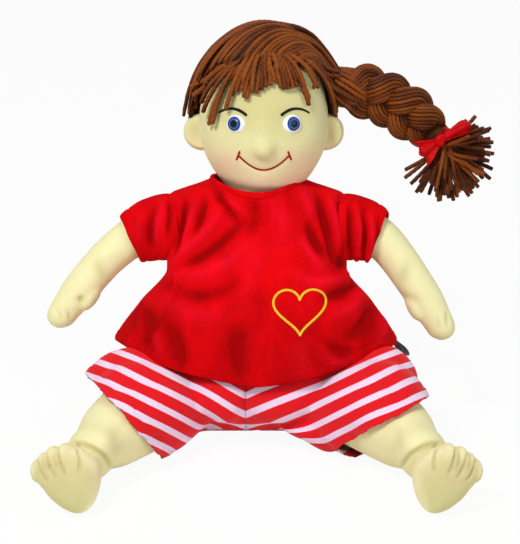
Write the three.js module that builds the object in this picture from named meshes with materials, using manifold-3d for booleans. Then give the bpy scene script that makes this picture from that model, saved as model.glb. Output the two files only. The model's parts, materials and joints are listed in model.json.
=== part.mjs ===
// A soft doll that sits on the floor: stuffed trunk, head, arms and legs, yarn hair with one side braid,
// a velour shirt and striped shorts. Millimetres, +Z up, the doll looks along -Y, its own left side is +X.
// The origin is on the floor, in the middle of the seat.
import * as THREE from "three";
import { mergeVertices } from "three/addons/utils/BufferGeometryUtils.js";
import Module from "manifold-3d";

const wasm = await Module();
wasm.setup();

// Fits
const GAP = 0.3; // between two pieces that touch
const SEAM_GAP = 0.4; // between pieces that are sewn edge to edge and turn against each other
const FLOOR_Z = 0;

// Trunk, measured along its own leaning axis
const LEAN_DEG = 12; // the trunk leans back
const SHOULDER_HEIGHT = 209;
const CHEST_HEIGHT = 150;
const BELLY_HEIGHT = 82;
const SHOULDER_WIDTH = 150;
const SHOULDER_DEPTH = 62;
const CHEST_WIDTH = 152;
const CHEST_DEPTH = 100;
const BELLY_WIDTH = 172;
const BELLY_DEPTH = 122;
const SEAT_DEPTH = 104;
const YOKE_WIDTH = 88; // top of the shoulders, round the neck
const YOKE_DEPTH = 68;
const YOKE_RISE = 7; // of the yoke over the shoulders

// Neck and head
const NECK_DIAMETER = 56;
const NECK_LENGTH = 9; // at its middle
const NECK_SINK = 4; // of its foot under the shoulders
const JAW_RADIUS = 56.5; // the lower head is a ball of this radius
const HEAD_RISE = 85; // from the middle of the jaw ball to the crown
const CROWN_POWER = 2.15; // squareness of the head's dome
const HEAD_SHIFT = 6; // the head is sewn on a little to the doll's left
const NOSE_HEIGHT = -14; // from the middle of the jaw ball
const NOSE_WIDTH = 17;
const NOSE_RISE = 5;

// Face
const EYE_SPACING = 49;
const EYE_HEIGHT = 7; // over the middle of the jaw ball
const EYE_WIDTH = 17;
const EYE_TALL = 15.5;
const EYE_DOME = 4;
const EYE_SEAT = 1.2; // depth of the eye's rim in the skin
const EYE_STEM_DIAMETER = 4;
const EYE_STEM_LENGTH = 11;
const WASHER_DIAMETER = 14;
const WASHER_THICKNESS = 2;
const WASHER_DEPTH = 4.5; // of its front face behind the skin
const BROW_THREAD = 2;
const BROW_WIDTH = 23;
const BROW_RISE = 5;
const BROW_OVER_EYE = 12;
const BROW_SPACING = 53;
const MOUTH_THREAD = 2;
const MOUTH_WIDTH = 42;
const MOUTH_DROP = 12.5;
const MOUTH_HEIGHT = -20; // of the corners, from the middle of the jaw ball
const MOUTH_TICK = 8;
const EAR_TALL = 31;
const EAR_REACH = 14; // out from the head
const EAR_THICKNESS = 13;
const EAR_HEIGHT = -3;
const EAR_BACK = 5; // of the ear behind the middle of the head

// Yarn hair
const HAIR_THICKNESS = 9;
const HAIR_CLEAR = 1.2; // of the hair's inside over the skin
const HAIRLINE_SIDE = 14; // height of the hair's lower edge over the ears
const HAIRLINE_FRONT_SLOPE = 1.3; // its rise to the forehead
const HAIRLINE_BACK_SLOPE = 0.62; // its fall to the nape
const FRINGE_THICKNESS = 5.5;
const FRINGE_LENGTH = 40;
const FRINGE_SIDE_LENGTH = 34;
const FRINGE_HALF_ANGLE = 64; // degrees to each side of the nose
const FRINGE_LOCKS = 11;
const FRINGE_NOTCH = 9; // depth of the notches between the locks
const BRAID_STRANDS = 3;
const STRAND_WIDTH = 13;
const STRAND_THICKNESS = 6.8;
const PLAIT_SWING = 14; // of a strand's middle, to each side
const PLAIT_DEPTH = 11.5; // of a strand's middle, to front and back
const PLAIT_PITCH = 68;
const BRAID_LENGTH = 92; // from the middle of the root to the tie
const BRAID_BACK = 14; // of the braid behind the middle of the head
const BRAID_HEIGHT = 36; // of its root over the middle of the jaw ball
const BRAID_OUT = 72; // of its root from the middle of the head
const ROOT_DIAMETER = 32;
const TIE_DIAMETER = 26;
const TIE_WIDTH = 8;
const RIBBON_THICKNESS = 1.6;
const KNOT_SIZE = 10;
const BOW_LOOP_LENGTH = 25;
const BOW_LOOP_WIDTH = 17;
const BOW_LOOP_THICKNESS = 5;
const TASSEL_LENGTH = 48;
const TASSEL_WIDTH = 76;
const TASSEL_THICKNESS = 36;

// Arms, from the shoulder seam to the finger tips
const ARM_HEIGHT = 185; // of the shoulder axis along the trunk
const ARMHOLE_DIAMETER = 50;
const ARM_DIAMETER = 33;
const WRIST_DIAMETER = 30;
const HAND_DIAMETER = 31;
const LEFT_ARM_DROOP = 7; // degrees, of the left arm under the right one
const ARM_OUT = 98; // of the finger tips from the shoulder seam
const ARM_FRONT = 15;
const ARM_FALL = 87;
const THUMB_LENGTH = 17;
const THUMB_DIAMETER = 12;

// Legs, from the hip seam to the sole
const HIP_HALF_SPACING = 40; // of the hip seam from the middle
const HIP_HEIGHT = 44;
const HIP_DIAMETER = 80;
const THIGH_DIAMETER = 78;
const KNEE_DIAMETER = 66;
const ANKLE_DIAMETER = 48;
const FOOT_OUT = 150; // of the foot's middle from the doll's middle
const FOOT_FRONT = 150; // and to the front
const FOOT_HEIGHT = 30;
const FOOT_TILT_DEG = 35; // of the toes outwards
const FOOT_LENGTH = 58;
const FOOT_WIDTH = 57;
const FOOT_THICKNESS = 34;
const BIG_TOE_WIDTH = 18;
const TOE_WIDTH = 12.5;
const TOE_LENGTH = 22;

// Shirt
const SHIRT_CLOTH = 2;
const SHIRT_EASE = 1.2; // of the shirt over the trunk, where it fits closest
const FOLD_COUNT = 7;
const FOLD_DEPTH = 4;
const FOLD_TURN = 0.3; // radians from the front to the first fold's ridge
const SHIRT_HEM_WIDTH = 252;
const SHIRT_HEM_DEPTH = 158;
const SHIRT_HEM_SIDE = 86; // height of the hem along the trunk, at the side seams
const SHIRT_HEM_FRONT = 57; // and at the middle of the front and back
const SHIRT_HEM_CURVE = 1.33; // how fast the hem climbs from the front to the side seams
const COLLAR_DIAMETER = 86;
const COLLAR_HEIGHT = 222;
const COLLAR_DIP = 6; // of its front under its sides
const COLLAR_BAND = 5;
const BACK_OVERLAP = 9; // of the back's left half over its right half
const CLOSURE_LENGTH = 70;
const CLOSURE_WIDTH = 12;
const CLOSURE_TAPE = 1;
const CLOSURE_LIFT = 10; // of its middle over the middle of the back
const TAPE_GAP = 0.8; // between the tapes and the panels they are sewn to
const LAP_RUN = 1.6; // the back's left half rises over this many overlaps
const SLEEVE_LENGTH = 40;
const SLEEVE_HEM_DIAMETER = 41;
const SLEEVE_ROOT_DIAMETER = 62;
const HEART_WIDTH = 45;
const HEART_HEIGHT = 38;
const HEART_THREAD = 2.4;
const HEART_X = 36.5;
const HEART_LEVEL = 122;

// Shorts
const SHORTS_CLOTH = 1.8;
const SHORTS_EASE = 0.6;
const SHORTS_LEG_LENGTH = 92; // from the hip seam to the hem
const SHORTS_HEM_DIAMETER = 98;
const SHORTS_HEM_PUFF = 7; // of the hem to the outer, upper side of the leg
const SHORTS_HEM_SKEW = 8; // the hem reaches further down the leg on that side
const SHORTS_WAIST_HEIGHT = 118;
const ELASTIC_WIDTH = 8;
const ELASTIC_THICKNESS = 1;
const LABEL_LENGTH = 14;
const LABEL_WIDTH = 11;
const LABEL_THICKNESS = 1;

// Fineness of the curved forms
const RING_SIDES = 22;
const SHEET_SIDES = 32;
const PANEL_COLUMNS = SHEET_SIDES / 4 + 1; // of a quarter of the shirt, with the trunk's own corners
const HEM_ROWS = 8;
const HEAD_ROWS = 16;
const HAIR_ROWS = 8;
const LIMB_SIDES = 14;
const LEG_SIDES = 18;
const THREAD_SIDES = 5;

// Colours
const KNIT = { color: 0xf3e6b4, roughness: 0.95 };
const VELOUR = { color: 0xd8101c, roughness: 0.8 };
const STRIPE = { color: 0xe5485a, roughness: 0.9 };
const YARN = { color: 0x7a3a16, roughness: 0.95 };
const SATIN = { color: 0xd40f1e, roughness: 0.5 };
const YELLOW_THREAD = { color: 0xf2c230, roughness: 0.6 };
const BLACK_THREAD = { color: 0x16181c, roughness: 0.6 };
const RED_THREAD = { color: 0xb5162c, roughness: 0.6 };
const EYE_PLASTIC = { color: 0x3d64b8, roughness: 0.15 };
const WASHER_PLASTIC = { color: 0xdcdcd6, roughness: 0.5 };
const TAPE = { color: 0xb8141e, roughness: 0.9 };
const ELASTIC = { color: 0xf0ece6, roughness: 0.9 };
const LABEL_WEAVE = { color: 0x24262c, roughness: 0.7 };

const V = (x, y, z) => new THREE.Vector3(x, y, z);
const rad = THREE.MathUtils.degToRad;

// The scene graph: legs stand in the floor's frame, and all above the seat in the leaning trunk's
const doll = new THREE.Group();
const trunk = new THREE.Group();
trunk.rotation.x = -rad(LEAN_DEG);
doll.add(trunk);
trunk.updateMatrixWorld(true);
const toTrunk = trunk.matrixWorld.clone().invert();

// One named mesh with its own material, in a group
function add(group, name, geometry, look) {
  geometry.computeVertexNormals();
  const mesh = new THREE.Mesh(geometry, new THREE.MeshStandardMaterial({ metalness: 0, ...look }));
  mesh.name = name;
  group.add(mesh);
  return mesh;
}

// A size read from a table of [place, size] rows by a cubic that doesn't overshoot
function along(rows, place) {
  const last = rows.length - 1;
  if (place <= rows[0][0]) return rows[0][1];
  if (place >= rows[last][0]) return rows[last][1];
  const slope = (i) => (rows[i + 1][1] - rows[i][1]) / (rows[i + 1][0] - rows[i][0]);
  const tangent = (i) => {
    if (i === 0 || i === last) return slope(Math.min(i, last - 1));
    const before = slope(i - 1);
    const after = slope(i);
    return before * after <= 0 ? 0 : (2 * before * after) / (before + after);
  };
  const i = rows.findIndex((row, k) => k < last && place <= rows[k + 1][0]);
  const span = rows[i + 1][0] - rows[i][0];
  const t = (place - rows[i][0]) / span;
  const rise = t * t * (3 - 2 * t);
  return (
    rows[i][1] * (1 - rise) +
    rows[i + 1][1] * rise +
    span * (tangent(i) * t * (1 - t) * (1 - t) - tangent(i + 1) * t * t * (1 - t))
  );
}

// Turns a mesh's faces outwards if its volume comes out negative
function outward(geometry) {
  const p = geometry.attributes.position;
  const index = geometry.index.array;
  const [a, b, c] = [V(0, 0, 0), V(0, 0, 0), V(0, 0, 0)];
  let volume = 0;
  for (let i = 0; i < index.length; i += 3) {
    a.fromBufferAttribute(p, index[i]);
    b.fromBufferAttribute(p, index[i + 1]);
    c.fromBufferAttribute(p, index[i + 2]);
    volume += a.dot(b.cross(c));
  }
  if (volume >= 0) return geometry;
  for (let i = 0; i < index.length; i += 3) [index[i + 1], index[i + 2]] = [index[i + 2], index[i + 1]];
  return geometry;
}

function geometryOf(points, faces) {
  const geometry = new THREE.BufferGeometry().setFromPoints(points);
  geometry.setIndex(faces);
  return outward(geometry);
}

// A closed body through rings of points, each end closed by a fan to a middle point
function loft(rings, first, last) {
  const sides = rings[0].length;
  const points = [first, ...rings.flat(), last];
  const at = (ring, side) => 1 + ring * sides + (side % sides);
  const faces = [];
  for (let s = 0; s < sides; s++) {
    faces.push(0, at(0, s + 1), at(0, s));
    faces.push(points.length - 1, at(rings.length - 1, s), at(rings.length - 1, s + 1));
    for (let r = 0; r < rings.length - 1; r++) {
      faces.push(at(r, s), at(r, s + 1), at(r + 1, s));
      faces.push(at(r, s + 1), at(r + 1, s + 1), at(r + 1, s));
    }
  }
  return geometryOf(points, faces);
}

const middle = (ring) => ring.reduce((sum, p) => sum.add(p), V(0, 0, 0)).divideScalar(ring.length);
const capped = (rings) => loft(rings, middle(rings[0]), middle(rings.at(-1)));

// A sheet with a thickness: outer and inner rows of points, joined along every open edge
function sheet(outer, inner, closed) {
  const [rows, sides] = [outer.length, outer[0].length];
  const points = [...outer.flat(), ...inner.flat()];
  const at = (layer, row, side) => layer * rows * sides + row * sides + (side % sides);
  const faces = [];
  const quad = (a, b, c, d) => faces.push(a, b, c, a, c, d);
  const wide = closed ? sides : sides - 1;
  for (let s = 0; s < wide; s++) {
    for (let r = 0; r < rows - 1; r++) {
      quad(at(0, r, s), at(0, r, s + 1), at(0, r + 1, s + 1), at(0, r + 1, s));
      quad(at(1, r, s), at(1, r + 1, s), at(1, r + 1, s + 1), at(1, r, s + 1));
    }
    quad(at(0, 0, s), at(1, 0, s), at(1, 0, s + 1), at(0, 0, s + 1));
    quad(at(0, rows - 1, s), at(0, rows - 1, s + 1), at(1, rows - 1, s + 1), at(1, rows - 1, s));
  }
  if (!closed)
    for (let r = 0; r < rows - 1; r++) {
      quad(at(0, r, 0), at(0, r + 1, 0), at(1, r + 1, 0), at(1, r, 0));
      quad(at(0, r, sides - 1), at(1, r, sides - 1), at(1, r + 1, sides - 1), at(0, r + 1, sides - 1));
    }
  return geometryOf(points, faces);
}

// Booleans
function solid(geometry) {
  const bare = new THREE.BufferGeometry().setAttribute("position", geometry.attributes.position);
  bare.setIndex(geometry.index);
  const merged = mergeVertices(bare, 1e-4);
  return new wasm.Manifold(
    new wasm.Mesh({
      numProp: 3,
      vertProperties: Float32Array.from(merged.attributes.position.array),
      triVerts: Uint32Array.from(merged.index.array),
    }),
  );
}
function mesh(manifold) {
  const out = manifold.getMesh();
  const geometry = new THREE.BufferGeometry();
  geometry.setAttribute("position", new THREE.BufferAttribute(Float32Array.from(out.vertProperties), 3));
  geometry.setIndex(new THREE.BufferAttribute(Uint32Array.from(out.triVerts), 1));
  return geometry;
}
const cut = (body, ...tools) => mesh(tools.reduce((left, tool) => left.subtract(solid(tool)), solid(body)));
const join = (body, ...others) => mesh(others.reduce((sum, other) => sum.add(solid(other)), solid(body)));

const HUGE = 1000; // reach of a cutting block past the doll
function block(low, high) {
  const size = high.clone().sub(low);
  const box = new THREE.BoxGeometry(size.x, size.y, size.z);
  return box.translate((low.x + high.x) / 2, (low.y + high.y) / 2, (low.z + high.z) / 2);
}
// A rod along X, Y or Z between two places on that axis
function rod(axis, radius, from, to, centre, sides = 48) {
  const geometry = new THREE.CylinderGeometry(radius, radius, Math.abs(to - from), sides);
  if (axis === "x") geometry.rotateZ(Math.PI / 2);
  if (axis === "z") geometry.rotateX(Math.PI / 2);
  const at = centre.clone();
  at[axis] = (from + to) / 2;
  return geometry.translate(at.x, at.y, at.z);
}
const inTrunk = (geometry) => geometry.applyMatrix4(toTrunk);

// A ring of a superellipse, from the front (-Y) round to the doll's left; power 2 is an ellipse
function ringPoint(angle, halfWidth, halfDepth, power) {
  const s = Math.sin(angle);
  const c = Math.cos(angle);
  return [
    Math.sign(s) * halfWidth * Math.abs(s) ** (2 / power),
    -Math.sign(c) * halfDepth * Math.abs(c) ** (2 / power),
  ];
}
const turns = (count, from = 0, to = 2 * Math.PI, closed = true) =>
  Array.from({ length: count }, (_, i) => from + ((to - from) * i) / (closed ? count : count - 1));
const steps = (count, from, to) => turns(count, from, to, false);

// Trunk: its half width, half depth and squareness at each height
const YOKE_HEIGHT = SHOULDER_HEIGHT + YOKE_RISE;
const TRUNK_FOOT = -6;
const trunkWidths = [
  [TRUNK_FOOT, BELLY_WIDTH / 2 - 34],
  [12, BELLY_WIDTH / 2 - 16],
  [BELLY_HEIGHT, BELLY_WIDTH / 2],
  [CHEST_HEIGHT, CHEST_WIDTH / 2],
  [SHOULDER_HEIGHT - 4, SHOULDER_WIDTH / 2],
  [SHOULDER_HEIGHT + 2, SHOULDER_WIDTH / 2 - 6],
  [YOKE_HEIGHT, YOKE_WIDTH / 2],
];
const trunkDepths = [
  [TRUNK_FOOT, SEAT_DEPTH / 2 - 24],
  [6, SEAT_DEPTH / 2 - 10],
  [26, SEAT_DEPTH / 2],
  [BELLY_HEIGHT, BELLY_DEPTH / 2],
  [CHEST_HEIGHT, CHEST_DEPTH / 2],
  [SHOULDER_HEIGHT, SHOULDER_DEPTH / 2 + 1],
  [YOKE_HEIGHT, YOKE_DEPTH / 2],
];
const trunkPowers = [
  [0, 2.4],
  [BELLY_HEIGHT, 2.2],
  [CHEST_HEIGHT, 3],
  [SHOULDER_HEIGHT, 3.2],
  [YOKE_HEIGHT, 2.4],
];
function trunkPoint(angle, height, grow) {
  const halfWidth = along(trunkWidths, height) + grow;
  const halfDepth = along(trunkDepths, height) + grow;
  const [x, y] = ringPoint(angle, halfWidth, halfDepth, along(trunkPowers, height));
  return V(x, y, height);
}
// Rows of the trunk's skin, closer together over the shoulders
const SHOULDER_ROWS = [-12, -4, 1, 4].map((rise) => SHOULDER_HEIGHT + rise);
const trunkRows = [...steps(9, TRUNK_FOOT, SHOULDER_ROWS[0] - 14), ...SHOULDER_ROWS, YOKE_HEIGHT];
function trunkBody(grow, rows = trunkRows) {
  return capped(rows.map((h) => turns(SHEET_SIDES).map((a) => trunkPoint(a, h, grow))));
}

// Where the head's ball and the neck sit on the trunk
const NECK_BASE = SHOULDER_HEIGHT - NECK_SINK;
const JAW_HEIGHT = NECK_BASE + NECK_LENGTH + SEAM_GAP + JAW_RADIUS;
// The shoulder stubs end flush with the shirt
const STUB_END = CHEST_WIDTH / 2 + SHIRT_EASE + SHIRT_CLOTH + GAP;

// Everything that moves with a leg lies outside the hip planes and under the hip's top
const HIP_TOP = HIP_HEIGHT + HIP_DIAMETER / 2 + SHORTS_EASE + GAP + SHORTS_CLOTH;
const SEAT_HALF_WIDTH = HIP_HALF_SPACING - SEAM_GAP / 2;
const hipNotches = () =>
  [-1, 1].map((side) =>
    inTrunk(
      block(
        V(side > 0 ? SEAT_HALF_WIDTH : -HUGE, -HUGE, -HUGE),
        V(side > 0 ? HUGE : -SEAT_HALF_WIDTH, HUGE, HIP_TOP + SEAM_GAP),
      ),
    ),
  );
const below = (height) => inTrunk(block(V(-HUGE, -HUGE, -HUGE), V(HUGE, HUGE, height)));

// The ball of the lower head, in the trunk's frame
const jawBall = (grow) =>
  new THREE.SphereGeometry(JAW_RADIUS + grow, 48, 32).translate(HEAD_SHIFT, 0, JAW_HEIGHT);

// The stuffed trunk, with a well for the neck and a round stub at each shoulder for the arm
function torsoGeometry() {
  const body = trunkBody(0);
  const stubs = rod("x", ARMHOLE_DIAMETER / 2, -STUB_END, STUB_END, V(0, 0, ARM_HEIGHT), 28);
  const well = rod("z", NECK_DIAMETER / 2 + SEAM_GAP, NECK_BASE, HUGE, V(HEAD_SHIFT, 0, 0), SHEET_SIDES);
  const underside = below(FLOOR_Z + SHORTS_CLOTH + GAP);
  return cut(join(body, stubs), underside, ...hipNotches(), well, jawBall(SEAM_GAP + GAP));
}
add(trunk, "torso", torsoGeometry(), KNIT);

// The shorts' seat: cloth round the lower trunk, under it and up to the waist
function shortsSeatGeometry() {
  const cloth = SHORTS_EASE + SHORTS_CLOTH;
  const rows = trunkRows.filter((h) => h < SHORTS_WAIST_HEIGHT - 3);
  const outer = trunkBody(cloth, [...rows, SHORTS_WAIST_HEIGHT]);
  const inner = cut(trunkBody(SHORTS_EASE), below(FLOOR_Z + SHORTS_CLOTH));
  return cut(outer, below(FLOOR_Z), ...hipNotches(), inner);
}
add(trunk, "shorts_seat", shortsSeatGeometry(), STRIPE);

// The elastic round the waist of the shorts, under the shirt
function bandRound(height, width, clear, thickness) {
  const rows = [height - width / 2, height + width / 2];
  const wall = (grow) => rows.map((h) => turns(SHEET_SIDES).map((a) => trunkPoint(a, h, grow)));
  return sheet(wall(clear + thickness), wall(clear), true);
}
const elasticClear = SHORTS_EASE + SHORTS_CLOTH + GAP;
const elasticHeight = SHORTS_WAIST_HEIGHT - ELASTIC_WIDTH;
const elastic = bandRound(elasticHeight, ELASTIC_WIDTH, elasticClear, ELASTIC_THICKNESS);
add(trunk, "waist_elastic", elastic, ELASTIC);

// Shirt: follows the trunk at the shoulders and flares from the chest to the hem
const shirtClear = SHIRT_EASE + elasticClear + ELASTIC_THICKNESS;
const shirtWidths = [
  [SHIRT_HEM_FRONT, SHIRT_HEM_WIDTH / 2 + 6],
  [SHIRT_HEM_SIDE, SHIRT_HEM_WIDTH / 2 - SHIRT_CLOTH],
  [SHORTS_WAIST_HEIGHT, (SHIRT_HEM_WIDTH + CHEST_WIDTH) / 4 + SHIRT_EASE],
  [CHEST_HEIGHT, CHEST_WIDTH / 2 + SHIRT_EASE],
  [SHOULDER_HEIGHT - 4, SHOULDER_WIDTH / 2 + SHIRT_EASE],
  [SHOULDER_HEIGHT + 4, SHOULDER_WIDTH / 2 - 5],
  [YOKE_HEIGHT, YOKE_WIDTH / 2 + 12],
  [COLLAR_HEIGHT, COLLAR_DIAMETER / 2 - SHIRT_CLOTH],
];
const shirtDepths = [
  [SHIRT_HEM_FRONT, SHIRT_HEM_DEPTH / 2 - SHIRT_CLOTH],
  [BELLY_HEIGHT + 6, BELLY_DEPTH / 2 + shirtClear + 6],
  [CHEST_HEIGHT, CHEST_DEPTH / 2 + shirtClear],
  [SHOULDER_HEIGHT, SHOULDER_DEPTH / 2 + SHIRT_EASE + 5],
  [YOKE_HEIGHT, YOKE_DEPTH / 2 + SHIRT_EASE + 4],
  [COLLAR_HEIGHT, COLLAR_DIAMETER / 2 - SHIRT_CLOTH],
];
const shirtPowers = [
  [SHIRT_HEM_FRONT, 2],
  [SHORTS_WAIST_HEIGHT, 2.1],
  [CHEST_HEIGHT, 3],
  [SHOULDER_HEIGHT, 3.2],
  [YOKE_HEIGHT, 2.4],
  [COLLAR_HEIGHT, 2],
];
const trunkClearances = [
  [SHORTS_WAIST_HEIGHT + 2, elasticClear + ELASTIC_THICKNESS + 2 * GAP],
  [CHEST_HEIGHT, SHIRT_EASE],
];
// Soft folds that run down from the chest and deepen to the hem
const foldRise = (angle, height) => {
  const hang = THREE.MathUtils.clamp((CHEST_HEIGHT - height) / (CHEST_HEIGHT - SHIRT_HEM_FRONT), 0, 1);
  return FOLD_DEPTH * hang ** 1.5 * (0.5 - 0.5 * Math.cos(FOLD_COUNT * (angle - FOLD_TURN)));
};
function shirtPoint(angle, height, grow) {
  const clear = along(trunkClearances, height);
  const out = grow - foldRise(angle, height);
  const halfWidth = Math.max(along(shirtWidths, height) + out, along(trunkWidths, height) + clear + grow);
  const halfDepth = Math.max(along(shirtDepths, height) + out, along(trunkDepths, height) + clear + grow);
  const [x, y] = ringPoint(angle, halfWidth, halfDepth, along(shirtPowers, height));
  return V(x, y, height);
}
const hemHeight = (angle) =>
  SHIRT_HEM_FRONT + (SHIRT_HEM_SIDE - SHIRT_HEM_FRONT) * Math.abs(Math.sin(angle)) ** SHIRT_HEM_CURVE;
const neckLine = (angle) => COLLAR_HEIGHT - COLLAR_DIP * Math.max(0, Math.cos(angle)) ** 2;
// Heights of a panel's rows at one column, from the hem to the neck
const shirtRows = (angle) => [
  ...steps(HEM_ROWS, hemHeight(angle), SHOULDER_ROWS[0] - 14),
  ...SHOULDER_ROWS,
  ...steps(3, SHOULDER_ROWS.at(-1), neckLine(angle) - GAP).slice(1),
];
function shirtSheet(angles, low, high) {
  const corner = (a, h) => [shirtPoint(a, h, high(a)), shirtPoint(a, h, low(a))];
  const columns = angles.map((a) => shirtRows(a).map((h) => corner(a, h)));
  const wall = (layer) => columns[0].map((_, row) => columns.map((column) => column[row][layer]));
  return sheet(wall(0), wall(1), false);
}
const armholes = rod("x", ARMHOLE_DIAMETER / 2 + GAP, -HUGE, HUGE, V(0, 0, ARM_HEIGHT), 28);
const withArmholes = (panel) => cut(panel, armholes);
function shirtPanel(angles) {
  return withArmholes(shirtSheet(angles, () => 0, () => SHIRT_CLOTH));
}
const seamAngle = GAP / SHIRT_HEM_WIDTH; // half the gap at a side seam
const overlapAngle = BACK_OVERLAP / SHIRT_HEM_DEPTH;
const side = Math.PI / 2;
const frontAngles = () => steps(2 * PANEL_COLUMNS - 1, -side + seamAngle, side - seamAngle);
add(trunk, "shirt_front", shirtPanel(frontAngles()), VELOUR);
const backAngles = steps(PANEL_COLUMNS, -Math.PI - overlapAngle, -side - seamAngle);
add(trunk, "shirt_back_right", shirtPanel(backAngles), VELOUR);

// The back's left half laps over the right one at the middle, where a hook and loop tape closes the shirt
const LAP = SHIRT_CLOTH + 2 * (CLOSURE_TAPE + TAPE_GAP) + GAP;
function lappedPanel() {
  const lapFrom = Math.PI - overlapAngle;
  const rise = (a) => (a < lapFrom - 0.001 ? 0 : LAP);
  const runFrom = lapFrom - LAP_RUN * overlapAngle;
  const lap = steps(3, lapFrom, Math.PI + overlapAngle);
  const angles = [...steps(PANEL_COLUMNS, side + seamAngle, runFrom), ...lap];
  return withArmholes(shirtSheet(angles, rise, (a) => SHIRT_CLOTH + rise(a)));
}
add(trunk, "shirt_back_left", lappedPanel(), VELOUR);

function closureTape(clear) {
  const half = Math.min(overlapAngle, CLOSURE_WIDTH / SHIRT_HEM_DEPTH) * 0.9;
  const angles = steps(5, Math.PI - half, Math.PI + half);
  const mid = (COLLAR_HEIGHT + SHIRT_HEM_SIDE) / 2 + CLOSURE_LIFT;
  const rows = steps(8, mid - CLOSURE_LENGTH / 2, mid + CLOSURE_LENGTH / 2);
  const wall = (grow) => rows.map((h) => angles.map((a) => shirtPoint(a, h, grow)));
  return sheet(wall(clear + CLOSURE_TAPE), wall(clear), false);
}
add(trunk, "closure_loop_tape", closureTape(SHIRT_CLOTH + TAPE_GAP), TAPE);
add(trunk, "closure_hook_tape", closureTape(SHIRT_CLOTH + TAPE_GAP + CLOSURE_TAPE + GAP), TAPE);

// The folded neck edge, on top of the panels
function collarGeometry() {
  const wall = (grow) =>
    [0, COLLAR_BAND].map((rise) =>
      turns(SHEET_SIDES).map((a) => {
        const point = shirtPoint(a, COLLAR_HEIGHT, grow);
        point.z = neckLine(a) + rise;
        return point;
      }),
    );
  return sheet(wall(SHIRT_CLOTH + 1), wall(0), true);
}
add(trunk, "collar", collarGeometry(), VELOUR);

// A cord laid along a path of places and normals; size gives its half width and half height at each place
function cord(path, size, closed = false, sides = THREAD_SIDES) {
  const count = path.length;
  const rings = path.map((point, i) => {
    const before = path[closed ? (i + count - 1) % count : Math.max(i - 1, 0)];
    const after = path[closed ? (i + 1) % count : Math.min(i + 1, count - 1)];
    const tangent = after.at.clone().sub(before.at).normalize();
    const across = tangent.clone().cross(point.normal).normalize();
    const up = across.clone().cross(tangent);
    const [wide, high] = size(i / (count - 1));
    return turns(sides).map((a) =>
      point.at
        .clone()
        .addScaledVector(across, Math.cos(a) * wide)
        .addScaledVector(up, Math.sin(a) * high),
    );
  });
  if (!closed) return capped(rings);
  const faces = [];
  const at = (i, j) => (i % count) * sides + (j % sides);
  for (let r = 0; r < count; r++)
    for (let k = 0; k < sides; k++) {
      faces.push(at(r, k), at(r + 1, k), at(r + 1, k + 1), at(r, k), at(r + 1, k + 1), at(r, k + 1));
    }
  return geometryOf(rings.flat(), faces);
}
const stitches = (path, diameter, closed) => cord(path, () => [diameter / 2, diameter / 2], closed);

// The yellow heart outline on the shirt's front: two lobes over a point
function onShirtFront(x, height, lift) {
  const angles = frontAngles();
  const at = (i) => {
    const rows = shirtRows(angles[i]);
    const k = Math.max(1, rows.findIndex((h) => h >= height));
    const t = (height - rows[k - 1]) / (rows[k] - rows[k - 1]);
    const [under, over] = [rows[k - 1], rows[k]].map((h) => shirtPoint(angles[i], h, SHIRT_CLOTH));
    return under.lerp(over, t);
  };
  const i = Math.max(1, angles.findIndex((_, k) => at(k).x >= x));
  const [before, after] = [at(i - 1), at(i)];
  const normal = V(before.y - after.y, before.x - after.x, 0).negate().normalize();
  if (normal.y > 0) normal.negate();
  const place = before.lerp(after, (x - before.x) / (after.x - before.x));
  return { at: place.addScaledVector(normal, lift), normal };
}
function heartGeometry() {
  const path = turns(30).map((t) => {
    const x = HEART_X + (HEART_WIDTH / 2) * Math.sin(t) ** 3;
    const rise = (13 * Math.cos(t) - 5 * Math.cos(2 * t) - 2 * Math.cos(3 * t) - Math.cos(4 * t)) / 29;
    return onShirtFront(x, HEART_LEVEL + HEART_HEIGHT * rise, HEART_THREAD * 0.3);
  });
  const front = shirtSheet(frontAngles(), () => -HEART_THREAD * 5, () => SHIRT_CLOTH + GAP);
  return cut(stitches(path, HEART_THREAD, true), front);
}
add(trunk, "heart_stitching", heartGeometry(), YELLOW_THREAD);

// Left and right copies of a piece made for the doll's left side
function mirrored(geometry) {
  const copy = new THREE.BufferGeometry().setAttribute("position", geometry.attributes.position.clone());
  copy.setIndex(geometry.index.clone());
  return outward(mergeVertices(copy.scale(-1, 1, 1)));
}
function pair(group, name, geometry, look) {
  add(group, `${name}_right`, mirrored(geometry), look);
  add(group, `${name}_left`, geometry, look);
}

// Head: a ball below its middle and a taller dome above; tilt is measured from the crown
const head = new THREE.Group();
head.position.set(HEAD_SHIFT, 0, JAW_HEIGHT);
trunk.add(head);
function headPoint(turn, tilt, grow) {
  const [up, out] = [Math.cos(tilt), Math.sin(tilt)];
  const radius = JAW_RADIUS + grow;
  const flat = radius * (up > 0 ? out ** (2 / CROWN_POWER) : out);
  const rise = up > 0 ? (HEAD_RISE + grow) * up ** (2 / CROWN_POWER) : radius * up;
  return V(flat * Math.sin(turn), -flat * Math.cos(turn), rise);
}
function headBody(grow) {
  const ring = (tilt) => turns(RING_SIDES).map((turn) => headPoint(turn, tilt, grow));
  const rings = steps(HEAD_ROWS, 0.16, Math.PI - 0.16).map(ring);
  return loft(rings, headPoint(0, 0, grow), headPoint(0, Math.PI, grow));
}

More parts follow.
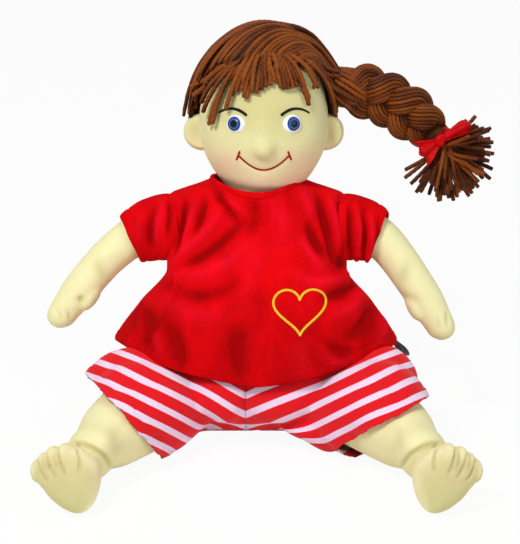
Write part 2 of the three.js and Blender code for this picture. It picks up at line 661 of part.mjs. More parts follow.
// A place on the face and the direction out of it
function facePoint(x, z, grow = 0) {
  const power = z > 0 ? CROWN_POWER : 2;
  const [radius, rise] = [JAW_RADIUS + grow, (z > 0 ? HEAD_RISE : JAW_RADIUS) + grow];
  const flat = radius * (1 - (Math.abs(z) / rise) ** power) ** (1 / power);
  const at = V(x, -Math.sqrt(flat * flat - x * x), z);
  const level = (flat / radius) ** (power - 1) / (radius * flat);
  const slope = (Math.sign(z) * (Math.abs(z) / rise) ** (power - 1)) / rise;
  return { at, normal: V(at.x * level, at.y * level, slope).normalize() };
}
function outFrom({ at, normal }) {
  const across = V(0, 0, 1).cross(normal).normalize();
  return new THREE.Matrix4().makeBasis(across, normal.clone().cross(across), normal).setPosition(at);
}

// Eyes: a domed button with a stem through the skin, held by a washer inside
const eyePlace = facePoint(EYE_SPACING / 2, EYE_HEIGHT);
const O = V(0, 0, 0);
const oval = (geometry) => geometry.scale(1, EYE_TALL / EYE_WIDTH, 1);
function eyeGeometry() {
  const arc = turns(5, 0, Math.PI / 2).map((t) => [(EYE_WIDTH / 2) * Math.cos(t), EYE_DOME * Math.sin(t)]);
  const outline = [[0, -EYE_SEAT], [EYE_WIDTH / 2, -EYE_SEAT], ...arc, [0, EYE_DOME]];
  const profile = outline.map(([radius, rise]) => new THREE.Vector2(radius, rise));
  const dome = oval(new THREE.LatheGeometry(profile, 20).rotateX(Math.PI / 2));
  const stem = rod("z", EYE_STEM_DIAMETER / 2, -EYE_STEM_LENGTH, 0, O, 12);
  return join(dome, stem).applyMatrix4(outFrom(eyePlace));
}
const WASHER_TOP = -EYE_SEAT - WASHER_DEPTH;
const WASHER_UNDER = WASHER_TOP - WASHER_THICKNESS;
function eyePocket() {
  const seat = oval(rod("z", EYE_WIDTH / 2 + GAP, -EYE_SEAT - GAP, EYE_WIDTH, O, 20));
  const hole = rod("z", EYE_STEM_DIAMETER / 2 + GAP, -EYE_STEM_LENGTH - GAP, 0, O, 12);
  const room = rod("z", WASHER_DIAMETER / 2 + GAP, WASHER_UNDER - GAP, WASHER_TOP + GAP, O, 16);
  return join(seat, hole, room).applyMatrix4(outFrom(eyePlace));
}
function washerGeometry() {
  const disc = rod("z", WASHER_DIAMETER / 2, WASHER_UNDER, WASHER_TOP, O, 16);
  const bore = rod("z", EYE_STEM_DIAMETER / 2 + GAP, -HUGE, HUGE, O, 12);
  return cut(disc, bore).applyMatrix4(outFrom(eyePlace));
}

// The neck: a short plug in the trunk's well, dished for the head's ball
function neckGeometry() {
  const at = V(HEAD_SHIFT, 0, 0);
  const plug = rod("z", NECK_DIAMETER / 2, NECK_BASE + SEAM_GAP, JAW_HEIGHT, at, SHEET_SIDES);
  return cut(plug, jawBall(SEAM_GAP));
}
add(trunk, "neck", neckGeometry(), KNIT);

function headGeometry() {
  const nose = new THREE.SphereGeometry(1, 12, 8).scale(NOSE_WIDTH / 2, NOSE_WIDTH / 2, NOSE_WIDTH / 2);
  const tip = facePoint(0, NOSE_HEIGHT);
  nose.translate(0, tip.at.y + NOSE_WIDTH / 2 - NOSE_RISE, NOSE_HEIGHT);
  return cut(join(headBody(0), nose), eyePocket(), mirrored(eyePocket()));
}
add(head, "head", headGeometry(), KNIT);
pair(head, "eye", eyeGeometry(), EYE_PLASTIC);
pair(head, "eye_washer", washerGeometry(), WASHER_PLASTIC);

// Stitched brows and mouth, flat against the face
const onFace = (x, z, lift) => {
  const place = facePoint(x, z);
  return { at: place.at.addScaledVector(place.normal, lift), normal: place.normal };
};
function browGeometry() {
  const browZ = (t) => EYE_HEIGHT + BROW_OVER_EYE - BROW_RISE * t * t;
  const lift = BROW_THREAD * 0.3;
  const path = steps(8, -1, 1).map((t) => onFace((BROW_SPACING + t * BROW_WIDTH) / 2, browZ(t), lift));
  return cut(stitches(path, BROW_THREAD), headBody(GAP));
}
pair(head, "brow", browGeometry(), BLACK_THREAD);

function mouthGeometry() {
  const mouthZ = (t) => MOUTH_HEIGHT - MOUTH_DROP * (1 - t * t);
  const lift = MOUTH_THREAD * 0.3;
  const arc = steps(13, -1, 1).map((t) => onFace((t * MOUTH_WIDTH) / 2, mouthZ(t), lift));
  const line = stitches(arc, MOUTH_THREAD);
  const tick = (end) =>
    stitches(
      steps(3, -0.5, 0.5).map((t) =>
        onFace(end * (MOUTH_WIDTH / 2 + 0.6 * t * MOUTH_TICK), MOUTH_HEIGHT - 0.8 * t * MOUTH_TICK, lift),
      ),
      MOUTH_THREAD,
    );
  return cut(join(line, tick(-1), tick(1)), headBody(GAP));
}
add(head, "mouth_stitching", mouthGeometry(), RED_THREAD);

// Yarn hair over the head, down to a line that rises to the forehead and falls to the nape
const hairline = (y) => HAIRLINE_SIDE - y * (y < 0 ? HAIRLINE_FRONT_SLOPE : HAIRLINE_BACK_SLOPE);
function hairlineTilt(turn) {
  let [over, under] = [0.1, 2.6];
  for (let i = 0; i < 40; i++) {
    const tilt = (over + under) / 2;
    const at = headPoint(turn, tilt, 0);
    if (at.z > hairline(at.y)) over = tilt;
    else under = tilt;
  }
  return over;
}
function hairRings(grow) {
  return steps(HAIR_ROWS, 1 / HAIR_ROWS, 1).map((t) =>
    turns(RING_SIDES).map((a) => headPoint(a, t * hairlineTilt(a), grow)),
  );
}
const rootPlace = V(BRAID_OUT, BRAID_BACK, BRAID_HEIGHT);
const rootBall = (grow) =>
  new THREE.SphereGeometry(ROOT_DIAMETER / 2 + grow, 16, 10).translate(rootPlace.x, rootPlace.y, rootPlace.z);
function hairCapGeometry() {
  const rings = [...hairRings(GAP + HAIR_THICKNESS), ...hairRings(HAIR_CLEAR).reverse()];
  const cap = loft(rings, headPoint(0, 0, GAP + HAIR_THICKNESS), headPoint(0, 0, HAIR_CLEAR));
  return cut(cap, rootBall(SEAM_GAP));
}
add(head, "hair_cap", hairCapGeometry(), YARN);

// The fringe: locks of yarn that hang from the hairline over the forehead
function fringeGeometry() {
  const half = rad(FRINGE_HALF_ANGLE);
  const angles = steps(FRINGE_LOCKS * 2 + 1, -half, half);
  const start = (SEAM_GAP + GAP) / JAW_RADIUS;
  const drop = (a) => {
    const length = FRINGE_LENGTH + (FRINGE_SIDE_LENGTH - FRINGE_LENGTH) * (a / half) ** 2;
    const notch = Math.abs(Math.cos((a / half) * FRINGE_LOCKS * (Math.PI / 2) + Math.PI / 2));
    return (length - FRINGE_NOTCH * (1 - notch)) / HEAD_RISE;
  };
  const wall = (grow) =>
    steps(4, 0, 1).map((t) => angles.map((a) => headPoint(a, hairlineTilt(a) + start + t * drop(a), grow)));
  return sheet(wall(GAP + FRINGE_THICKNESS), wall(HAIR_CLEAR), false);
}
add(head, "fringe", fringeGeometry(), YARN);

// Soft ears, sewn on at the sides
function earGeometry() {
  const ear = new THREE.SphereGeometry(1, 16, 12).scale(EAR_REACH + 4, EAR_THICKNESS / 2, EAR_TALL / 2);
  ear.translate(JAW_RADIUS - 4, EAR_BACK, EAR_HEIGHT);
  const aboveHair = block(V(-HUGE, -HUGE, HAIRLINE_SIDE - EAR_BACK - SEAM_GAP * 2), V(HUGE, HUGE, HUGE));
  return cut(ear, headBody(GAP), aboveHair);
}
pair(head, "ear", earGeometry(), KNIT);

// The side braid: a root of gathered yarn, three plaited strands, a tie with a ribbon bow, and a loose tassel
const BRAID_BEND = [
  [0, -8],
  [BRAID_LENGTH * 0.35, -22],
  [BRAID_LENGTH * 0.75, -40],
  [BRAID_LENGTH, -44],
  [BRAID_LENGTH + TIE_WIDTH + TASSEL_LENGTH * 0.4, -38],
]; // degrees over level at each length
const BRAID_REACH = BRAID_LENGTH + TIE_WIDTH + TASSEL_LENGTH + 2 * GAP;
const braidSteps = 60;
const braidLine = [];
for (let i = 0, at = rootPlace.clone(); i <= braidSteps; i++) {
  const length = (i * BRAID_REACH) / braidSteps;
  const bend = rad(along(BRAID_BEND, length));
  braidLine.push({ length, at: at.clone(), forward: V(Math.cos(bend), 0, Math.sin(bend)) });
  at.addScaledVector(braidLine[i].forward, BRAID_REACH / braidSteps);
}
function onBraid(length) {
  const next = braidLine.findIndex((place, k) => k > 0 && place.length >= length);
  const i = next < 0 ? braidSteps - 1 : next - 1;
  const [from, to] = [braidLine[i], braidLine[i + 1]];
  const t = (length - from.length) / (to.length - from.length);
  const forward = from.forward.clone().lerp(to.forward, t).normalize();
  return { at: from.at.clone().lerp(to.at, t), forward, across: V(-forward.z, 0, forward.x) };
}
const DEPTH = V(0, 1, 0);
function strandGeometry(index) {
  const path = steps(23, 4, BRAID_LENGTH + 3).map((length) => {
    const { at, across } = onBraid(length);
    const phase = (2 * Math.PI * length) / PLAIT_PITCH + (2 * Math.PI * index) / BRAID_STRANDS;
    at.addScaledVector(across, PLAIT_SWING * Math.sin(phase));
    at.addScaledVector(DEPTH, PLAIT_DEPTH * Math.sin(2 * phase));
    return { at, normal: DEPTH };
  });
  const strand = cord(path, () => [STRAND_WIDTH / 2, STRAND_THICKNESS / 2], false, 8);
  return cut(strand, rootBall(SEAM_GAP), capped(acrossBraid(BRAID_LENGTH, BRAID_LENGTH + 30, [60, 60])));
}
add(head, "braid_root", rootBall(0), YARN);
for (let i = 0; i < BRAID_STRANDS; i++) add(head, `braid_strand_${i + 1}`, strandGeometry(i), YARN);

// A round of yarn or ribbon across the braid, between two lengths
function acrossBraid(from, to, radii, sides = 20) {
  return steps(radii.length, from, to).map((length, i) => {
    const { at, across } = onBraid(length);
    return turns(sides).map((a) =>
      at
        .clone()
        .addScaledVector(across, Math.cos(a) * radii[i])
        .addScaledVector(DEPTH, Math.sin(a) * radii[i]),
    );
  });
}
const tieFrom = BRAID_LENGTH + GAP;
const tieTo = tieFrom + TIE_WIDTH;
const tieRadius = TIE_DIAMETER / 2;
add(head, "braid_tie", capped(acrossBraid(tieFrom, tieTo, [tieRadius, tieRadius])), YARN);
const ribbonOuter = tieRadius + GAP + RIBBON_THICKNESS;
const ribbonRows = (radius) => acrossBraid(tieFrom + 1, tieTo - 1, [radius, radius]);
add(head, "ribbon_wrap", sheet(ribbonRows(ribbonOuter), ribbonRows(tieRadius + GAP), true), SATIN);

// The bow, on the front of the ribbon: a knot and two flat loops
const tieMiddle = onBraid((tieFrom + tieTo) / 2);
const knotPlace = tieMiddle.at.clone().addScaledVector(DEPTH, -ribbonOuter - GAP - KNOT_SIZE * 0.35);
function knotGeometry() {
  const knot = new THREE.SphereGeometry(1, 14, 10).scale(KNOT_SIZE / 2, KNOT_SIZE * 0.42, KNOT_SIZE / 2);
  knot.translate(knotPlace.x, knotPlace.y, knotPlace.z);
  return cut(knot, capped(acrossBraid(tieFrom - 8, tieTo + 8, [ribbonOuter + GAP, ribbonOuter + GAP])));
}
add(head, "bow_knot", knotGeometry(), SATIN);
function bowLoop(angle, length) {
  const out = V(Math.cos(rad(angle)), 0, Math.sin(rad(angle)));
  const across = V(-out.z, 0, out.x);
  const from = KNOT_SIZE / 2 + GAP;
  const place = (t, lane, inset) => {
    const reach = from + inset + (length - 2 * inset) * (0.5 - 0.5 * Math.cos(t));
    const open = (reach - from) / length;
    const thick = (BOW_LOOP_THICKNESS / 2 - inset) * Math.sin(t) * (0.55 + 0.45 * open);
    const wide = (BOW_LOOP_WIDTH / 2) * (0.35 + 0.65 * open ** 0.7) * lane;
    return knotPlace
      .clone()
      .addScaledVector(out, reach)
      .addScaledVector(DEPTH, thick)
      .addScaledVector(across, wide);
  };
  const wall = (inset) => [-1, 0, 1].map((lane) => turns(18).map((t) => place(t, lane, inset)));
  return sheet(wall(0), wall(RIBBON_THICKNESS / 2), true);
}
add(head, "bow_loop_upper", bowLoop(30, BOW_LOOP_LENGTH), SATIN);
add(head, "bow_loop_lower", bowLoop(205, BOW_LOOP_LENGTH * 0.9), SATIN);

// The loose end of the yarn
function tasselGeometry() {
  const widths = [
    [0, tieRadius * 0.9],
    [0.25, TASSEL_WIDTH * 0.36],
    [0.6, TASSEL_WIDTH / 2],
    [0.85, TASSEL_WIDTH * 0.43],
    [1, TASSEL_WIDTH * 0.24],
  ];
  const depths = [
    [0, tieRadius * 0.9],
    [0.8, TASSEL_THICKNESS / 2],
    [1, TASSEL_THICKNESS * 0.32],
  ];
  const rings = steps(9, 0, 1).map((t) => {
    const { at, across } = onBraid(tieTo + GAP + t * TASSEL_LENGTH);
    const [wide, deep] = [along(widths, t), along(depths, t)];
    return turns(20).map((a) =>
      at
        .clone()
        .addScaledVector(across, Math.cos(a) * wide)
        .addScaledVector(DEPTH, Math.sin(a) * deep),
    );
  });
  return capped(rings);
}
add(head, "tassel", tasselGeometry(), YARN);

// A limb along a curve: rings square to it, with a rounded end
function limbRings(curve, places, radius, sides, level, flatness = () => 1) {
  const length = curve.getLength();
  return places.map((place) => {
    const at = curve.getPointAt(place / length);
    const tangent = curve.getTangentAt(place / length);
    const across = tangent.clone().cross(V(0, 0, 1)).normalize();
    const up = across.clone().cross(tangent);
    return turns(sides).map((a) => {
      const point = at
        .clone()
        .addScaledVector(across, Math.cos(a) * radius(place))
        .addScaledVector(up, Math.sin(a) * radius(place) * flatness(place));
      if (level !== undefined) point.z = Math.max(point.z, level);
      return point;
    });
  });
}
const rounded = (place, length, radius) => {
  const over = Math.max(0, place - (length - radius)) / radius;
  return Math.sqrt(Math.max(0.02, 1 - over * over));
};
// The places are closer together at the rounded end
const limbPlaces = (count, length, radius) => [
  ...steps(count, 0, length - radius),
  ...[0.3, 0.55, 0.75, 0.9, 0.98].map((t) => length - radius + t * radius),
];

// Arms: from a flat seam beside the armhole, outwards and down
const ARM_PLANE = STUB_END + SEAM_GAP; // all that moves lies outside it
// Shares of the arm's reach out, to the front and down, from the shoulder seam's middle
const ARM_BEND = [
  [-0.06, 0, -0.006],
  [0.06, 0.01, 0.01],
  [0.165, 0.04, 0.04],
  [0.335, 0.13, 0.13],
  [0.51, 0.27, 0.29],
  [0.62, 0.4, 0.42],
  [0.745, 0.6, 0.585],
  [0.865, 0.8, 0.76],
  [0.96, 0.93, 0.91],
  [1, 1, 1],
];
const armCurve = (droop) =>
  new THREE.CatmullRomCurve3(
    ARM_BEND.map(([out, front, fall]) => {
      const turn = rad(droop) * THREE.MathUtils.smoothstep(out, 0.08, 0.6);
      const point = V(out * ARM_OUT, -front * ARM_FRONT, -fall * ARM_FALL).applyAxisAngle(V(0, 1, 0), turn);
      return point.add(V(ARM_PLANE, 0, ARM_HEIGHT));
    }),
  );
const ARM_LENGTH = armCurve(0).getLength();
const armRadii = [
  [ARM_LENGTH * 0.04, ARMHOLE_DIAMETER / 2],
  [ARM_LENGTH * 0.19, ARM_DIAMETER / 2 + 3],
  [ARM_LENGTH * 0.35, ARM_DIAMETER / 2],
  [ARM_LENGTH * 0.61, WRIST_DIAMETER / 2],
  [ARM_LENGTH * 0.84, HAND_DIAMETER / 2],
];
const insideArmPlane = block(V(-HUGE, -HUGE, -HUGE), V(ARM_PLANE, HUGE, HUGE));
function armGeometry(droop) {
  const line = armCurve(droop);
  const radius = (s) => along(armRadii, s) * rounded(s, ARM_LENGTH, HAND_DIAMETER / 2);
  const arm = capped(limbRings(line, limbPlaces(10, ARM_LENGTH, HAND_DIAMETER / 2), radius, LIMB_SIDES));
  const thumb = new THREE.SphereGeometry(0.5, 12, 8).scale(THUMB_DIAMETER, THUMB_DIAMETER, THUMB_LENGTH);
  const palm = line.getPointAt(1 - HAND_DIAMETER / ARM_LENGTH);
  thumb.rotateY(rad(-28)).translate(palm.x - HAND_DIAMETER * 0.46, palm.y - 3, palm.z - 6);
  return cut(join(arm, thumb), insideArmPlane);
}

const sleeveRadii = [
  [SLEEVE_LENGTH * 0.15, SLEEVE_ROOT_DIAMETER / 2 - SHIRT_CLOTH],
  [SLEEVE_LENGTH * 0.6, (SLEEVE_ROOT_DIAMETER + SLEEVE_HEM_DIAMETER) / 4 - SHIRT_CLOTH + 1],
  [SLEEVE_LENGTH, SLEEVE_HEM_DIAMETER / 2 - SHIRT_CLOTH],
];
function sleeveGeometry(droop) {
  const wall = (grow) =>
    limbRings(armCurve(droop), steps(6, 2, SLEEVE_LENGTH), (s) => along(sleeveRadii, s) + grow, LIMB_SIDES);
  return cut(sheet(wall(SHIRT_CLOTH), wall(0), true), insideArmPlane);
}
add(trunk, "arm_right", mirrored(armGeometry(0)), KNIT);
add(trunk, "arm_left", armGeometry(LEFT_ARM_DROOP), KNIT);
add(trunk, "sleeve_right", mirrored(sleeveGeometry(0)), VELOUR);
add(trunk, "sleeve_left", sleeveGeometry(LEFT_ARM_DROOP), VELOUR);

// Legs: from a flat seam at the hip, forwards and out, in the floor's frame
const hipMiddle = V(0, 0, HIP_HEIGHT).applyMatrix4(trunk.matrixWorld);
const HIP_PLANE = HIP_HALF_SPACING + SEAM_GAP / 2;
const footPlace = V(FOOT_OUT, -FOOT_FRONT, FOOT_HEIGHT);
// Shares of the way out, to the front and down, from the hip seam to the middle of the foot
const LEG_BEND = [
  [-0.07, -0.006, 0],
  [0.055, 0.006, 0],
  [0.18, 0.075, 0.11],
  [0.36, 0.207, 0.23],
  [0.515, 0.37, 0.31],
  [0.645, 0.52, 0.39],
  [0.765, 0.675, 0.46],
  [0.87, 0.85, 0.54],
  [0.925, 0.935, 0.58],
];
const legWay = footPlace.clone().sub(V(HIP_PLANE, hipMiddle.y, hipMiddle.z));
const legLine = new THREE.CatmullRomCurve3(
  LEG_BEND.map(([out, front, fall]) =>
    V(HIP_PLANE + out * legWay.x, hipMiddle.y + front * legWay.y, hipMiddle.z + fall * legWay.z),
  ),
);
const LEG_LENGTH = legLine.getLength();
const legRadii = [
  [LEG_LENGTH * 0.04, HIP_DIAMETER / 2],
  [LEG_LENGTH * 0.31, THIGH_DIAMETER / 2],
  [LEG_LENGTH * 0.52, THIGH_DIAMETER / 2 - 1],
  [LEG_LENGTH * 0.7, KNEE_DIAMETER / 2],
  [LEG_LENGTH * 0.85, ANKLE_DIAMETER / 2],
  [LEG_LENGTH, ANKLE_DIAMETER / 2],
];
const THIGH_FLATNESS = [
  [0.05, 1],
  [0.26, 0.93],
  [0.57, 0.93],
  [0.85, 1],
]; // at shares of the leg's length
const legFlatness = (place) => along(THIGH_FLATNESS, place / LEG_LENGTH);
const legPlaces = [...steps(6, 0, LEG_LENGTH * 0.286), ...steps(8, LEG_LENGTH * 0.364, LEG_LENGTH)];
const insideHipPlane = block(V(-HUGE, -HUGE, -HUGE), V(HIP_PLANE, HUGE, HUGE));
const shortsUnder = FLOOR_Z + SHORTS_CLOTH + 2 * GAP;
function legGeometry() {
  const radius = (s) => along(legRadii, s);
  const rings = limbRings(legLine, legPlaces, radius, LEG_SIDES, shortsUnder + GAP, legFlatness);
  return cut(capped(rings), insideHipPlane);
}
pair(doll, "leg", legGeometry(), KNIT);

// Feet: round and flat, the sole to the front, the toes up and out
const sole = V(0.27, -0.95, 0.12).normalize();
const footUp = V(Math.sin(rad(FOOT_TILT_DEG)), 0, Math.cos(rad(FOOT_TILT_DEG)));
footUp.addScaledVector(sole, -footUp.dot(sole)).normalize();
const footAcross = footUp.clone().cross(sole).normalize(); // to the little toe if it points out
if (footAcross.x < 0) footAcross.negate();
function footPoint(across, up, out) {
  const at = footPlace.clone().addScaledVector(footAcross, across);
  return at.addScaledVector(footUp, up).addScaledVector(sole, out);
}
// Each toe: its place across and up, as shares of half the foot, its width and its length
const TOES = [
  [-0.63, 0.69, BIG_TOE_WIDTH, TOE_LENGTH + 2],
  [-0.16, 0.88, TOE_WIDTH + 1, TOE_LENGTH],
  [0.25, 0.81, TOE_WIDTH, TOE_LENGTH - 1],
  [0.58, 0.62, TOE_WIDTH - 0.5, TOE_LENGTH - 2],
  [0.81, 0.34, TOE_WIDTH - 1.5, TOE_LENGTH - 4],
];
const TOE_OUT = 2; // of the toes in front of the foot's middle
function footBlob(wide, tall, thick, at, sides) {
  const basis = new THREE.Matrix4().makeBasis(footAcross, footUp, sole);
  if (basis.determinant() < 0) basis.makeBasis(footAcross.clone().negate(), footUp, sole);
  const blob = new THREE.SphereGeometry(1, sides, sides - 4).scale(wide / 2, tall / 2, thick / 2);
  return blob.applyMatrix4(basis.setPosition(at));
}
function footGeometry() {
  const pad = footBlob(FOOT_WIDTH, FOOT_LENGTH, FOOT_THICKNESS, footPlace, 14);
  const toes = TOES.map(([across, up, wide, long]) => {
    const at = footPoint((across * FOOT_WIDTH) / 2, (up * FOOT_LENGTH) / 2, TOE_OUT);
    return footBlob(wide, long, wide + 2, at, 8);
  });
  const radius = (s) => along(legRadii, s) + GAP;
  const ankle = limbRings(legLine, legPlaces, radius, LEG_SIDES, shortsUnder, legFlatness);
  return cut(join(pad, ...toes), capped(ankle), block(V(-HUGE, -HUGE, -HUGE), V(HUGE, HUGE, FLOOR_Z)));
}
pair(doll, "foot", footGeometry(), KNIT);

// The legs of the shorts, wider than the legs at their hems
const shortsRadii = [
  [LEG_LENGTH * 0.04, HIP_DIAMETER / 2 + SHORTS_EASE + GAP],
  [LEG_LENGTH * 0.26, THIGH_DIAMETER / 2 + SHORTS_EASE + GAP],
  [SHORTS_LEG_LENGTH, SHORTS_HEM_DIAMETER / 2 - SHORTS_CLOTH],
];
const puffSide = V(0.75, 0.43, 0.5).normalize();
function shortsLegGeometry() {
  const places = [...legPlaces.filter((s) => s < SHORTS_LEG_LENGTH - 8), SHORTS_LEG_LENGTH];
  const wall = (grow, level) =>
    limbRings(legLine, places, (s) => along(shortsRadii, s) + grow, LEG_SIDES, undefined, legFlatness).map(
      (ring, row) => {
        const place = places[row];
        const centre = legLine.getPointAt(place / LEG_LENGTH);
        const forward = legLine.getTangentAt(place / LEG_LENGTH);
        const loose = THREE.MathUtils.smoothstep(place, 40, SHORTS_LEG_LENGTH);
        return ring.map((point) => {
          const toPuff = point.clone().sub(centre).dot(puffSide) / along(shortsRadii, place);
          point.addScaledVector(puffSide, SHORTS_HEM_PUFF * loose * (0.5 + 0.5 * toPuff));
          point.addScaledVector(forward, SHORTS_HEM_SKEW * loose * toPuff);
          point.z = Math.max(point.z, level);
          return point;
        });
      },
    );
  return cut(sheet(wall(SHORTS_CLOTH, FLOOR_Z + GAP), wall(0, shortsUnder), true), insideHipPlane);
}
pair(doll, "shorts_leg", shortsLegGeometry(), STRIPE);

// The blank label in the shirt's left side seam, under the hem
function labelGeometry() {
  const edge = shirtPoint(side, SHIRT_HEM_SIDE, 0);
  const low = V(edge.x, -LABEL_THICKNESS / 2, SHIRT_HEM_SIDE - GAP - LABEL_LENGTH);
  return block(low, V(edge.x + LABEL_WIDTH, LABEL_THICKNESS / 2, SHIRT_HEM_SIDE - GAP));
}
add(trunk, "side_label", labelGeometry(), LABEL_WEAVE);

export default doll;
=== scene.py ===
import json
import math

import bmesh
import bpy
import numpy as np
from bpy.props import FloatProperty, FloatVectorProperty, IntProperty, PointerProperty
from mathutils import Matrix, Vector
from mathutils.bvhtree import BVHTree


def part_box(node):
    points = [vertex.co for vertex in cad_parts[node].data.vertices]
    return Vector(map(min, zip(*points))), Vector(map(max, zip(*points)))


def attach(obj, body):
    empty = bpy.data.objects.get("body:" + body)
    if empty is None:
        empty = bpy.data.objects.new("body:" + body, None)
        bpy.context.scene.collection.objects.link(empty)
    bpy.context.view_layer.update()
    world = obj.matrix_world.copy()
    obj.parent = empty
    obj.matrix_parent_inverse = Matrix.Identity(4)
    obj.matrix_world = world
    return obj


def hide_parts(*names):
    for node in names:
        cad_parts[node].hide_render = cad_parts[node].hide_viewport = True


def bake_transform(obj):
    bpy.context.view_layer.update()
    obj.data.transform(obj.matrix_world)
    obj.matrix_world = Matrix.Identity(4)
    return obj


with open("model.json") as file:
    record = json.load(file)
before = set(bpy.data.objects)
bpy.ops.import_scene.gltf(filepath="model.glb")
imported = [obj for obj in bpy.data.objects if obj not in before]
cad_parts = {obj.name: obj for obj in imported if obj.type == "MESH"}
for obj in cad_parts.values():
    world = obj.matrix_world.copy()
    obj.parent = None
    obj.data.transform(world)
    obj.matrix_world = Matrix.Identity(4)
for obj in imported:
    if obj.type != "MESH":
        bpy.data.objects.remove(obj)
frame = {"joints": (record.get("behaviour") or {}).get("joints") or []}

bl_info = {
    "name": "Soft doll with a side braid",
    "version": (1, 0, 0),
    "blender": (4, 5, 0),
    "location": "3D View > Sidebar > Doll",
    "description": "Dresses the packed doll frame with skin, hair, clothes and a plain stage",
    "category": "Object",
}


# Colours


def linear(code):
    """Linear colour of an sRGB hex code, each channel by the sRGB curve."""
    parts = [int(code[k:k + 2], 16) / 255 for k in (0, 2, 4)]
    return tuple(c / 12.92 if c <= 0.04045 else ((c + 0.055) / 1.055) ** 2.4 for c in parts)


def colour(name, description, code):
    """Property of a colour, with a hex code as its default."""
    return FloatVectorProperty(
        name=name, description=description, default=linear(code), subtype="COLOR", size=3, min=0, max=1)


def length(name, description, value):
    """Property of a length, given here in millimetres."""
    return FloatProperty(
        name=name, description=description, default=value / 1000, min=0, unit="LENGTH", subtype="DISTANCE")


class DollColours(bpy.types.PropertyGroup):
    """Colours that a user may change."""

    skin: colour("Skin", "Pale brushed knit of the body", "F2EDB8")
    # Painted shade: this colour darkens the knit in creases, hollows and places turned from the light, and
    # also gives its random blotches.
    skin_shade: colour("Skin in folds", "The knit where it is pressed in", "CBC385")
    # Also used under the chin as painted reflected light from the red shirt.
    blush: colour("Blush", "Rosy tint under the cheeks and on the ears", "F0BBA6")
    velour: colour("Velour", "Red pile of the shirt", "E8020B")
    # The pile's random nap, and also the painted shade in the shirt's fold valleys.
    velour_dark: colour("Velour nap", "The same pile brushed the other way", "9C0003")
    # Also painted on the fold ridges as a painted highlight.
    velour_sheen: colour("Velour sheen", "Light that the pile throws back at an angle", "FF1434")
    stripe_red: colour("Red stripe", "Red stripe of the jersey", "E60012")
    stripe_white: colour("White stripe", "Pale stripe of the jersey", "F1DBF3")
    hair: colour("Hair", "Outside of the hair yarn", "84420F")
    # Painted shade between the plies and between yarns, and the dark end of each yarn's own tone.
    hair_dark: colour("Hair in grooves", "Between the plies of the yarn", "3C1603")
    ribbon: colour("Ribbon", "Satin ribbon of the bow", "C20106")
    iris: colour("Iris", "Painted iris of the eyes", "183878")
    iris_light: colour("Iris ring", "Paler ring inside the iris", "3562AA")
    white_of_eye: colour("White of the eye", "Moulded eye plastic", "EEF3FA")
    heart: colour("Heart thread", "Embroidery thread of the heart", "FFD534")
    mouth: colour("Mouth thread", "Embroidery thread of the mouth", "A5021A")
    brow: colour("Brow thread", "Embroidery thread of the brows", "120E0C")
    tape: colour("Closure tape", "Hook and loop tape at the back", "C4121B")
    label: colour("Label", "Blank woven side label", "6E6C74")


class DollSizes(bpy.types.PropertyGroup):
    """Sizes that a user may change without leaving the frame's solids."""

    yarn: length("Hair yarn", "Thickness of one hair yarn", 4.2)
    yarn_pitch: length("Yarn twist", "Length of one turn of the yarn's three plies", 15)
    cap_yarns: IntProperty(
        name="Cap yarns", description="Yarns laid over the head", default=128, min=40, max=160)
    tassel_yarns: IntProperty(
        name="Tassel yarns", description="Cut yarns at the braid's end", default=128, min=30, max=160)
    stripe: length("Stripe", "Width of one jersey stripe", 7.35)
    stitch: length("Satin stitch", "Width of the mouth's satin stitches", 1.75)
    heart_stitch: length("Heart stitch", "Width of the heart's satin stitches", 2.1)
    cloth: length("Velour cloth", "Thickness of the shirt's cloth with its pile", 2)
    jersey: length("Jersey cloth", "Thickness of the striped cloth", 1.6)
    fold: FloatProperty(
        name="Folds", description="Depth of the folds and creases, as a share of the real ones",
        default=1.0, min=0, max=1.5, subtype="FACTOR")


def sizes():
    """The sizes that a user may change."""
    return bpy.context.scene.doll_sizes


# The frame's places, in millimetres


def joint(name):
    """The frame's joint of that name."""
    return next(j for j in frame["joints"] if j["name"] == name)


UPWARD = np.array(joint("neck_turn")["axis"])
FORWARD = np.array([0.0, -UPWARD[2], UPWARD[1]])
HEAD = np.array(joint("neck_turn")["pos_m"]) * 1000
SHOULDER = np.array(joint("shoulder_left")["pos_m"]) * 1000
HIP = np.array(joint("hip_left")["pos_m"]) * 1000

# A point's height along the leaning trunk is its share along UPWARD.
SHOULDER_HEIGHT = float(SHOULDER @ UPWARD)
ARM_PLANE = float(SHOULDER[0])


def leaned(points):
    """Turns trunk places (x, back, height) to the row frame: x, back against FORWARD, height along
    UPWARD."""
    points = np.asarray(points, float)
    return (points[..., :1] * np.array([1.0, 0, 0]) - points[..., 1:2] * FORWARD
            + points[..., 2:3] * UPWARD)


def on_head(points):
    """Turns head places to the row frame: leaned like the trunk, from the neck's joint."""
    return leaned(points) + HEAD


# The photograph's camera, as calibrated on the doll's outline

LOOK_AT = np.array([2.7, 32.0, 141.0])
DISTANCE = 1380.0
ELEVATION = math.radians(20)
LENS = 103.0
SENSOR = 36.0
FRAME_SIZE = (520, 544)
AWAY = np.array([0.0, -math.cos(ELEVATION), math.sin(ELEVATION)])
EYE = LOOK_AT + AWAY * DISTANCE
RIGHT = np.array([1.0, 0.0, 0.0])
TOP = np.cross(AWAY, RIGHT)


def picture(points):
    """Where points fall in the photograph: pixels right and down, by dividing by their depth."""
    focal = LENS / SENSOR * max(FRAME_SIZE)
    apart = points - EYE
    depth = -(apart @ AWAY)
    across = FRAME_SIZE[0] / 2 + focal * (apart @ RIGHT) / depth
    down = FRAME_SIZE[1] / 2 - focal * (apart @ TOP) / depth
    return np.stack([across, down], -1)


# Shape maths


def unit(vectors):
    """Vectors over their own lengths."""
    vectors = np.asarray(vectors, float)
    return vectors / np.maximum(np.linalg.norm(vectors, axis=-1, keepdims=True), 1e-9)


